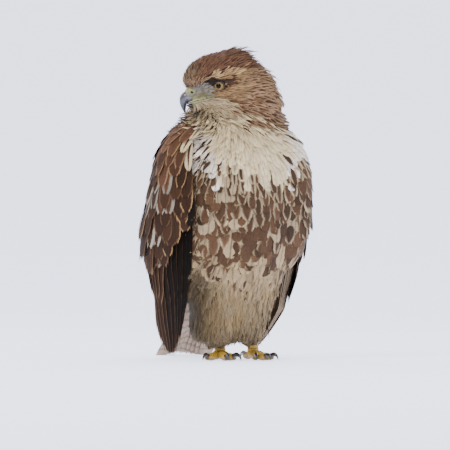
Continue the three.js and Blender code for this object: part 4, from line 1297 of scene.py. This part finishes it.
def buildEye(side, name):
    axis, middle = eyeDirection(side), eyeMiddle(side)
    across = unit(np.cross(headUp, axis))
    x, y = np.cos(turnsOf(48)), np.sin(turnsOf(48))
    rings, spots = [], []
    for angle in [0.01, *np.linspace(0.06, np.pi - 0.02, 40)]:
        # a ball with a low bulge over the pupil
        radius = head["eyeRadius"] + 0.45 * math.exp(-(angle / 0.5) ** 2)
        wide, deep = math.sin(angle) * radius, math.cos(angle) * radius
        rings.append(middle + axis * deep + np.outer(x * wide, across) + np.outer(y * wide, headUp))
        wide = wide * (1.0 if angle < np.pi / 2 else 3.0)
        spots.append(np.stack([x * wide, y * wide], 1) / eyePlan["mapWidth"] + 0.5)
    irisMap = np.concatenate([*spots, [[0.5, 0.5], [0.9, 0.9]]])
    placeSolid(name, lofted(rings), "eye", "eye", [name.replace("ball", "")], uvs={"Iris": irisMap})
    # the lids: a rim that hugs the ball, and a band of bare skin that runs out to the feathers
    x, y = np.cos(turnsOf(56)), np.sin(turnsOf(56))
    wide, tall = lidPlan["opening"]
    opening = np.stack([x * wide, np.where(y > 0, lidPlan["flatter"], 1.0) * y * tall], 1)
    opening[:, 1] -= lidPlan["slope"] * opening[:, 0] * side
    rim, tints = [], []
    wall = head["eyeRadius"] + 0.25
    colours = tone(lidPlan["outerColour"]), tone(lidPlan["colour"])
    for out, proud, dark in lidPlan["bands"]:
        grown = opening * (1 + out / np.linalg.norm(opening, axis=1, keepdims=True))
        reach = np.clip(np.linalg.norm(grown, axis=1), 0, wall - 0.05)
        deep = np.sqrt(wall ** 2 - reach ** 2) + proud + np.where(grown[:, 1] > 0, 0.35, 0.0) * (out > 0.3)
        flat = middle + np.outer(grown[:, 0], across) + np.outer(grown[:, 1], headUp)
        rim.append(flat + np.outer(deep, axis))
        tints.append(np.tile(mix(*colours, dark), (len(x), 1)))
    band = np.concatenate(rim), [gridFaces(len(rim), len(x), True)]
    placeSolid(name + "_lid", band, "bareSkin", "cere", tint=np.concatenate(tints))
    # the brow's ridge over the eye, painted darker than the lids as the shade along the brow
    path = [onFace(side, forward, up, lidPlan["browOut"]) for forward, up in lidPlan["brow"]]
    ridge = tube(path, lidPlan["browRadii"], 40, 16, up=headUp, flat=0.8)
    placeSolid(name + "_brow", ridge, "bareSkin", "cere", tint=tone(lidPlan["colour"]) * 0.7)


# Bill

billPlan = {
    # forward, top, bottom and half-width
    "cere": [[17, -4, -17, 8.6], [19, -2, -17, 9], [26, 1.2, -17, 10.4], [32, 1.4, -16.8, 10],
             [36.2, -2.2, -15.8, 8.8], [37.8, -5.0, -14.0, 6.2]],
    "under": [[14, -18.6, -24, 8.8], [26, -20.4, -26, 7.8], [32, -21.6, -26, 5.8], [35.8, -22.6, -24.4, 2.6]],
    # the hook's middle line, forward and up, then its half-height and half-width
    "hook": [[24, -12.2, 6.2, 8.2], [34, -12.6, 7.6, 8.2], [38, -15, 7, 6.9], [39.8, -19.5, 5.2, 5],
             [39.9, -24, 3.6, 3.3], [39, -28.5, 2.2, 1.9], [37.7, -33, 0.45, 0.45]],
    "nostril": (30.8, -7.4),     # forward and up
    "nostrilHalves": (1.8, 1.35),
    "nostrilDepth": 2.4,
    "nostrilRim": 0.5,
    # the mouth's soft edges: height over its line, thickness, how far out, colour
    # the middle line is painted near-black as the shade in the mouth's slit
    "mouth": {"lip": (1.0, 1.6, -0.25, "#98945f"), "mouth": (0.0, 0.6, 0.45, "#1c1410"),
              "chin": (-0.95, 1.25, -0.25, "#8a8560")},
    "mouthRun": (34.2, 31, 28, 24.5, 20, 15, 10, 5, 0, -3),
    "mouthSwell": np.array([0.35, 0.8, 1.0, 1.0, 0.95, 0.85, 0.75, 0.6, 0.4, 0.15]),
}


def billRings(rows, steps, sides, power):
    forward, top, bottom, half = alongRows(rows, np.linspace(0, 1, steps)).T
    centres, tall = inHead(forward, 0, (top + bottom) / 2), (top - bottom) / 2
    return lofted(ovals(centres, headUp, headLeft, tall, tall, half, sides, power))


def layered(*layers):
    # a first colour, then others laid over it, each with its share
    tint = tone(layers[0])
    for colour, share in layers[1:]:
        tint = mix(tint, tone(colour), share[:, None])
    return tint


def buildBill():
    # cere, dented at the nostrils
    points, faces = billRings(billPlan["cere"], 110, 150, 2.2)
    forward, left, up = toHead(points)
    ahead, over = forward - billPlan["nostril"][0], up - billPlan["nostril"][1]
    long, tall = billPlan["nostrilHalves"]
    hole = np.hypot(ahead / long, (over - 0.25 * ahead) / tall)
    onSide = np.sign(left) * (np.abs(left) > 5)
    dent = np.exp(-hole ** 3)
    rim = np.exp(-(hole - 1.35) ** 2 * 9) * billPlan["nostrilRim"]
    points = points + np.outer(onSide * (rim - dent * billPlan["nostrilDepth"]), headLeft)
    # the nostrils' dents are painted near-black, as painted shade inside the openings
    tint = layered("#6f6d57", ("#9c985a", ease(up, -12, -1)),
                   ("#b4b26a", ease(up, -4, 1) * ease(forward, 36, 30)),
                   ("#0e0b09", ease(dent * np.abs(onSide), 0.3, 0.7)))
    placeSolid("cere_skin", (points, faces), "bareSkin", "cere", ["cere"], tint)
    # upper half: its middle line turns down into the hook
    steps, sides = 46, 40
    k = np.linspace(0, 1, steps)
    forward, height, tall, half = alongRows(billPlan["hook"], k).T
    run = unit(np.stack([np.gradient(forward), np.gradient(height)], 1))
    over = np.outer(-run[:, 1], headForward) + np.outer(run[:, 0], headUp)
    body = lofted(ovals(inHead(forward, 0, height), over, headLeft, tall, tall, half, sides, 2.05))
    forward, left, up = toHead(body[0])
    tip = np.concatenate([np.repeat(k, sides), [0, 1]])
    ridge = ease(up + (forward - 30) * 0.9, -9, -3)
    tint = layered("#6f6b6f", ("#48464f", ease(tip, 0.1, 0.45)), ("#131318", ease(tip, 0.42, 0.8)),
                   ("#2b2b33", ridge * 0.5))
    placeSolid("bill_hook", body, "horn", "bill_horn", ["bill_upper"], tint)
    # lower half
    body = billRings(billPlan["under"], 24, 36, 2.0)
    tint = layered("#8f8f86", ("#2c2b30", ease(toHead(body[0])[0], 22, 33)))
    placeSolid("bill_under", body, "horn", "bill_horn", ["bill_lower"], tint)
    # the soft edges of the mouth, and the dark line between them, painted shade in the slit
    for side, name in ((1, "left"), (-1, "right")):
        for part, (drop, tall, out, colour) in billPlan["mouth"].items():
            path = []
            for forward in billPlan["mouthRun"]:
                end = np.interp(forward, [28, 31, 34.2], [13.6, 10.4, 7.4])
                spot = onFace(side, forward, mouthHeight(forward) + drop, 0, end)
                if forward > 27:
                    spot = inHead(forward, side * end, mouthHeight(forward) + drop * 0.6)
                path.append(spot + headLeft * side * out)
            path = np.array(path)
            path[1:-1] = (path[:-2] + 2 * path[1:-1] + path[2:]) / 4
            edge = tube(path, billPlan["mouthSwell"] * tall, 60, 16, up=headLeft, flat=0.55)
            placeSolid(part + "_" + name, edge, "bareSkin", "cere", tint=tone(colour))


# Feet

ankles = {"right": (-10.0, -3.0), "left": (33.0, -4.0)}
toes = {
    "inner": {"reach": 33, "claw": 22, "turn": {"right": -15, "left": -12}, "scutes": 9},
    "middle": {"reach": 45, "claw": 19, "turn": {"right": 6, "left": 4}, "scutes": 15},
    "outer": {"reach": 34, "claw": 16, "turn": {"right": 45, "left": 26}, "scutes": 10},
    "hind": {"reach": 26, "claw": 25, "turn": {"right": 186, "left": 184}, "scutes": 6},
}
footPlan = {
    "scute": "#c39a2f", "edge": "#1f170d", "pad": "#8a6a26",
    "claw": ("#4a3c33", "#1c191a"),
    "toeRise": ((-3, 0, 9.5), (0, 0.35, 6.2), (0, 0.7, 4.6), (0, 1, 5.0)),   # mm, share of the reach, height
    "clawRise": ((0, 5.2), (0.36, 7.8), (0.7, 6.0), (0.87, 0.9)),            # share of the claw, height
    "clawRadii": np.array([1, 0.86, 0.52]),
    "shank": ((1, 48), (1, 26), (0.5, 9), (0, 3)),                           # how far back, height
    "shankRadii": [6.5, 6.0, 7.2, 5.0],
    "shankScutes": 11,
}


def toePoint(side, toe, reach, up):
    mirror = -1 if side == "right" else 1
    x, y = ankles[side]
    turn = math.radians(toe["turn"][side]) * mirror
    return np.array([x + math.sin(turn) * reach, y - math.cos(turn) * reach, up])


def toeMesh(side, toe):
    # a tube whose top steps in overlapping scutes, and whose underside swells into pads
    path = [toePoint(side, toe, start + toe["reach"] * share, up) for start, share, up in footPlan["toeRise"]]
    k = np.linspace(0, 1, toe["scutes"] * 8 + 1)
    line = alongRows(path, k)
    tangent = unit(np.gradient(line, axis=0))
    across = unit(np.cross(headUp, tangent))
    over = unit(np.cross(tangent, across))
    radius = mix(5.0, 3.7, k) * (1 + 0.07 * np.cos(k * 6 * np.pi))
    angle = turnsOf(24)
    phase = (k * toe["scutes"]) % 1.0
    saw = np.where(phase < 0.12, phase / 0.12, 1 - (phase - 0.12) * 0.55)
    top = ease(np.cos(angle), -0.15, 0.35)
    wall = radius[:, None] * (1 + 0.02 * np.sin(angle * 9))
    raised = saw[:, None] * top * 0.75
    under = 0.5 * (0.5 - 0.5 * np.cos(k * 3 * 2 * np.pi))[:, None] * ease(-np.cos(angle), 0.2, 0.8)
    rings = line[:, None] + over[:, None] * ((wall + raised + under) * np.cos(angle))[..., None]
    rings = rings + across[:, None] * ((wall + raised * 0.5) * np.sin(angle))[..., None]
    points, faces = lofted(rings)
    points[:, 2] = np.maximum(points[:, 2], 0.0)
    groove = np.maximum(ease(phase, 0.62, 0.86), ease(phase, 0.14, 0.02))[:, None] * top
    scute, edge, pad = (tone(footPlan[name]) for name in ("scute", "edge", "pad"))
    tint = mix(mix(scute, edge, groove[..., None]), pad * 0.7, ease(-np.cos(angle), -0.1, 0.5)[None, :, None])
    return points, faces, np.concatenate([tint.reshape(-1, 3), [edge, edge]])


def buildFoot(side):
    x, y = ankles[side]
    steps, sides = 60, 26
    path = [(x, y + back, up) for back, up in footPlan["shank"]]
    points, faces = tube(path, footPlan["shankRadii"], steps, sides, up=(0, 1, 0))
    k = np.repeat(np.linspace(0, 1, steps), sides)
    bands = np.concatenate([ease(np.abs((k * footPlan["shankScutes"]) % 1 - 0.5), 0.36, 0.5), [0, 0]])
    parts = [toeMesh(side, toe) for toe in toes.values()]
    parts.append((points, faces, layered(footPlan["scute"], (footPlan["edge"], bands))))
    starts = np.cumsum([0] + [len(part[0]) for part in parts])
    faces = [np.concatenate([part[1][i] + start for part, start in zip(parts, starts)]) for i in (0, 1)]
    points, tint = (np.concatenate([part[i] for part in parts]) for i in (0, 2))
    placeSolid("foot_skin_" + side, (points, faces), "scute", "foot_scales", ["foot_" + side], tint)
    steps, sides = 30, 18
    for name, toe in toes.items():
        start, claw = toe["reach"] - 2.4, toe["claw"]
        path = [toePoint(side, toe, start + claw * share, up) for share, up in footPlan["clawRise"]]
        radii = [*footPlan["clawRadii"] * (3.1 if claw > 20 else 2.7), 0.22]
        k = np.concatenate([np.repeat(np.linspace(0, 1, steps), sides), [0, 1]])
        dark, darker = footPlan["claw"]
        label = side + "_" + name
        placeSolid("talon_" + label, tube(path, radii, steps, sides, flat=1.12), "claw", "claw_horn",
                   ["claw_" + label], layered(dark, (darker, ease(k, 0, 0.25))))


# Wings

wingPlan = {
    "primaries": 13, "secondaries": 12, "tertials": 4,
    "camber": 0.05,
    # the foremost and the hindmost root and tip: down and back over the sheet, height off it
    "secondaryRoots": ((0.35, 0.1, 0.2), (0.37, 0.8, 2.2)),
    "secondaryTips": ((0.74, 0.34, 1.4), (0.66, 0.92, 4.8)),
    "tertialRoots": ((0.34, 0.8, 4.4), (0.34, 0.93, 6)),
    "tertialTips": ((0.65, 0.88, 6.4), (0.56, 0.99, 9)),
    # half-width, tilt and how deep the root is sunk
    "primaryBuild": (12.5, 1.6, 1.5),
    "secondaryBuild": (12.5, 1.5, 1.5),
    "tertialBuild": (12.0, 1.2, 2.5),
    "tipJitter": 0.006,
    # how far down the wing the primaries' tips lie, from front to back
    "primaryTips": [0.87, 0.95, 0.99, 1.0, 0.965, 0.91, 0.85],
    # the foremost primary's root: down and back over the sheet, height off it; on the left
    # the long feathers come out from under the fluffed flank
    "rightRoot": (0.1, -0.03, 2.6),
    "leftRoot": (0.46, 0.1, -12.0),
    # mm that the left wing's long feathers stand off the body, by height
    "leftOut": ([0, 30, 62, 82, 102, 122, 145], [20, 22, 21, 14, 9, 4, 0]),
    "leftAim": (1.0, 0.6, 0.0),
    # the coverts' lower edge: places from front to back, and how far down the wing it lies there
    "hem": ([-0.05, 0.0, 0.05, 0.1, 0.2, 0.3, 1.0], [0.4, 0.43, 0.47, 0.51, 0.58, 0.61, 0.6]),
    "covertTries": 6000,
    "covertGaps": ([0, 0.2, 0.4], (7.0, 9.0, 10.5)),                # mm, by place down the wing
    "covertLengths": ([0, 0.15, 0.3, 0.42], (0.1, 0.13, 0.17, 0.2)),  # as a share of the wing's length
    "covertHalves": ([0, 0.2, 0.42], (7.0, 9.0, 10.0)),
}


def overSheet(down, back, height):
    # lines over the right wing's sheet: the points, the direction to the rear side, and outwards
    out = wingOut(down, np.clip(back, 0.01, 0.99))
    spine = wingPoint(down, back) + out * height[..., None]
    spine[..., 2] = np.maximum(spine[..., 2], 3.0)
    side = unit(np.cross(unit(np.gradient(spine, axis=1)), out))
    rearward = wingPoint(down, back + 0.01) - wingPoint(down, back - 0.01)
    side = np.where(np.sum(side * rearward, -1, keepdims=True) < 0, -side, side)
    return spine, side, out


def toned(ground, marking, form, count):
    return {"ground": np.tile(palette[ground], (count, 1)) * dice.uniform(0.88, 1.1, (count, 1)),
            "marking": np.tile(palette[marking], (count, 1)) * dice.uniform(0.84, 1.12, (count, 1)),
            "form": np.tile(form, (count, 1)) * dice.uniform(0.94, 1.05, (count, 1))}


def strips(start, count, total):
    # a strip of the bake map for each long feather
    i = np.arange(count) + start
    return np.stack([i / total, np.zeros(count), np.full(count, 0.96 / total), np.ones(count)], 1)


def spots(down, back):
    # a patch of the bake map for each small feather, where its root lies on the wing's sheet
    return np.stack([0.03 + 0.94 * np.clip(back, 0, 1), 0.03 + 1.6 * np.clip(down + 0.02, 0, 0.58)], 1)


def wingTier(side, shape, count, ends, half, tilt, sink, colours, bake):
    # ends: functions that give the roots and the tips as down, back and height off the sheet
    k = np.linspace(0, 1, count)
    root, tip = (np.stack([np.broadcast_to(v, k.shape) for v in end(k)], 1) for end in ends)
    shake = wingPlan["tipJitter"]
    tip = tip + dice.normal(0, 1, tip.shape) * (shake, 1.4 * shake, 0.15)
    root = root + dice.normal(0, 1, root.shape) * (shake, shake, 0.0)
    share = np.linspace(0, 1, 12)[None, :, None]
    path = root[:, None] * (1 - share) + tip[:, None] * share
    half, zero = half * dice.uniform(0.96, 1.06, count), np.zeros(count)
    twist = np.full(count, -tilt / 2) + dice.normal(0, 0.12, count)
    lines = overSheet(path[..., 0], path[..., 1], path[..., 2])
    laid = layFeathers(shape, lines, half, (zero - sink, zero), wingPlan["camber"], twist)
    laid["points"][..., 2] = np.maximum(laid["points"][..., 2], 0.4)
    if side == "left":
        # held further off the body than the right wing, to stand beside the leg as in the photo
        away = np.interp(laid["points"][..., 2], *wingPlan["leftOut"])
        laid["points"] = laid["points"] - away[..., None] * wingPlan["leftAim"]
    laid.update(colours(k, count), bake=bake)
    return mirrored(laid, side)


def mirrored(laid, side):
    for key in ("points", "over"):
        laid[key] = laid[key] * (1 if side == "right" else -1, 1, 1)
    return laid


def buildWing(side):
    plan = wingPlan
    # the left wing shows the paler underside of its long feathers
    outer = ("primaryEdge", "primary") if side == "right" else ("underEdge", "under")
    inner = ("secondaryEdge", "secondary")
    first, foremost, rootOut = plan[side + "Root"]

    def outerColours(k, count):
        front, rear = (toned(*names, (0.93, -1.5, 3.0), count) for names in (outer, inner))
        share = ease(k, 0.3, 0.75)[:, None]
        return {key: mix(front[key], rear[key], share) for key in front}

    def innerColours(k, count):
        return toned(*inner, (0.92, -1.5, 3.0), count)

    def primaryRoot(k):
        return mix(first, 0.46, k ** 0.6), mix(foremost, 0.6, k ** 1.2), mix(rootOut, -0.6, k ** 0.5)

    def primaryTip(k):
        tips = plan["primaryTips"]
        return np.interp(k, np.linspace(0, 1, len(tips)), tips), mix(0.01, 0.92, k ** 1.5), mix(0.6, 2.4, k)

    def between(start, end):
        return lambda k: [mix(a, b, k) for a, b in zip(start, end)]

    count, total = plan["primaries"], plan["secondaries"] + plan["tertials"]
    primaries = wingTier(side, "primary", count, (primaryRoot, primaryTip), *plan["primaryBuild"],
                         outerColours, strips(0, count, count))
    makeCoat("primaries_" + side, "primary", primaries, "flight", "wing_feathers", ["wing_" + side])
    tiers, start = [], 0
    for name, count in (("secondary", plan["secondaries"]), ("tertial", plan["tertials"])):
        ends = [between(*plan[name + part]) for part in ("Roots", "Tips")]
        tiers.append(wingTier(side, "secondary", count, ends, *plan[name + "Build"], innerColours,
                              strips(start, count, total)))
        start += count
    joined = {key: np.concatenate([tier[key] for tier in tiers]) for key in tiers[0]}
    makeCoat("secondaries_" + side, "secondary", joined, "flight", "wing_feathers")
    makeCoat("coverts_" + side, "covert", coverts(side), "covert", "wing_feathers")


def coverts(side):
    # small feathers over the wing's sheet, rooted at uneven places, each lying over those below it
    plan = wingPlan
    tries = plan["covertTries"]
    tries = np.stack([dice.uniform(-0.02, 0.5, tries), dice.uniform(-0.04, 1.0, tries)], 1)
    places = wingPoint(tries[:, 0], tries[:, 1])
    gaps = np.interp(tries[:, 0], *plan["covertGaps"])
    kept = []
    for i in np.flatnonzero(np.interp(tries[:, 1], *plan["hem"]) - tries[:, 0] > 0.08):
        if all(np.linalg.norm(places[i] - places[j]) > gaps[i] for j in kept):
            kept.append(i)
    down, back = tries[kept].T
    count = len(kept)
    length = np.interp(down, *plan["covertLengths"]) * dice.uniform(0.85, 1.15, count)
    end = np.minimum(down + length, np.interp(back, *plan["hem"]) + dice.normal(0, 0.018, count))
    far = within(back, 0.3, 0.7) & (end > 0.44) & (dice.random(count) < 0.45)
    k = np.linspace(0, 1, 12)[None]
    downs = down[:, None] * (1 - k) + end[:, None] * k
    backs = np.clip(back[:, None] + dice.normal(0, 0.02, (count, 1)) * k, -0.05, 1)
    rise = dice.uniform(1.6, 3.4, count) + far * dice.uniform(3, 7, count)
    height = np.interp(downs, [0, 0.1, 0.6], [6.0, 6.6, 2.6]) + rise[:, None] * k ** 1.2 - 1.6 * (1 - k)
    lines = overSheet(downs, backs, height)
    half = np.interp(down, *plan["covertHalves"]) * dice.uniform(0.85, 1.15, count)
    # pale and narrow with brown streaks where the breast's feathers reach over the right shoulder
    breast = onBib(lines[0][:, 7]) & (back < 0.3) & (side == "right")
    half, zero = half * np.where(breast, 0.62, 1.0), np.zeros(count)
    laid = layFeathers("covert", lines, half, (zero, zero), 0.08, dice.normal(-0.35, 0.3, count))
    colours = toned("lesserEdge", "lesser", (0.9, -1.5, 2.4), count)
    deep = toned("covertEdge", "covert", (0.92, -1.5, 2.6), count)
    lower = dice.random(count) < mix(0.25, 0.8, ease(end, 0.2, 0.42))
    ground, marking, form = (np.where(lower[:, None], deep[key], colours[key]) for key in looks)
    marking *= dice.uniform(0.72, 1.25, (count, 1))
    gold = dice.random(count) < 0.22
    ground[gold] = mix(palette["golden"], palette["lesserEdge"], dice.random((gold.sum(), 1)) * 0.8)
    # the foremost coverts take the primaries' near-black, painted shade in the gap between the wing's front
    # edge and the belly
    front = back + dice.normal(0, 0.012, count) < mix(-0.09, 0.02, ease(end, 0.35, 0.45))
    ground[front], marking[front] = palette["primaryEdge"], palette["primary"]
    marking *= mix(1.35, 1.0, ease(end, 0.12, 0.3))[:, None]
    # the pale, mottled patch
    mottled = np.exp(-((back - 0.32) / 0.14) ** 2 - ((end - 0.41) / 0.12) ** 2) * (back > 0.07)
    pale = dice.random(count) < mottled * 0.85
    ground[pale] = palette["white"] * dice.uniform(0.45, 0.9, (pale.sum(), 1))
    form[pale, 0] *= dice.uniform(0.65, 0.98, pale.sum())
    form[pale, 2] -= dice.uniform(0.4, 1.1, pale.sum())
    ground[breast] = palette["bib"] * mix(0.6, 0.9, rise[breast] / 3.4)[:, None]
    marking[breast], form[breast] = palette["nape"], (0.36, -0.6, 1.04)
    form[breast & (rise > 2.8), 0] = 0.0
    laid.update(ground=ground, marking=marking, form=form, bake=spots(down, back))
    # the fluffed flank covers the front ones on the left
    shown = (back >= 0.36) | (down >= 0.5) | (side == "right")
    return mirrored({key: value[shown] for key, value in laid.items()}, side)


# Tail

tailPlan = {
    "feathers": 12,
    "halfSpread": (12.0, 30.0),
    "half": 11.0,
    # height over the middle layer, colours, the marking's width, lowest height and the node it replaces
    "layers": {"top": (0.0, "tailEdge", "tail", 0.93, 0.5, ["tail"]),
               "under": (-0.9, "tailUnder", "tailUnder", 0.5, 0.15, ())},
}


def buildTail():
    count = tailPlan["feathers"]
    middle = (count - 1) / 2
    order = ((np.arange(count) - middle) / middle)[:, None]
    k = np.linspace(0, 1, 14)[None]
    along = mix(0.1, 1 - 0.035 * order ** 2, k)
    for layer, (drop, ground, marking, wide, lowest, replaced) in tailPlan["layers"].items():
        height = mix(-0.6, 2.4 - 6.6 * np.abs(order), mix(0.4, 1, k)) + drop
        spine = tailPoint(along, order * mix(*tailPlan["halfSpread"], along), height)
        out = np.tile(tailOver, spine.shape[:2] + (1,))
        side = unit(np.cross(unit(np.gradient(spine, axis=1)), out))
        side = side * np.where(order >= 0, 1.0, -1.0)[..., None] * np.sign(side[:1, :1, :1])
        half, zero = np.full(count, tailPlan["half"]), np.zeros(count)
        laid = layFeathers("tail", (spine, side, out), half, (zero, zero), 0.03, np.full(count, -0.55))
        laid["points"][..., 2] = np.maximum(laid["points"][..., 2], lowest)
        if layer == "under":
            laid["over"] = -laid["over"]
        laid.update(toned(ground, marking, (wide, -0.6, 1.2), count), bake=strips(0, count, count))
        makeCoat("tail_" + layer, "tail", laid, "tail", "tail_feathers", replaced)


for side in ("right", "left"):
    buildWing(side)
buildTail()
for side, name in ((1, "eyeball_left"), (-1, "eyeball_right")):
    buildEye(side, name)
print("eyes built")
buildBill()
print("bill built")
for side in ("right", "left"):
    buildFoot(side)
print("feet built")
growCoat()
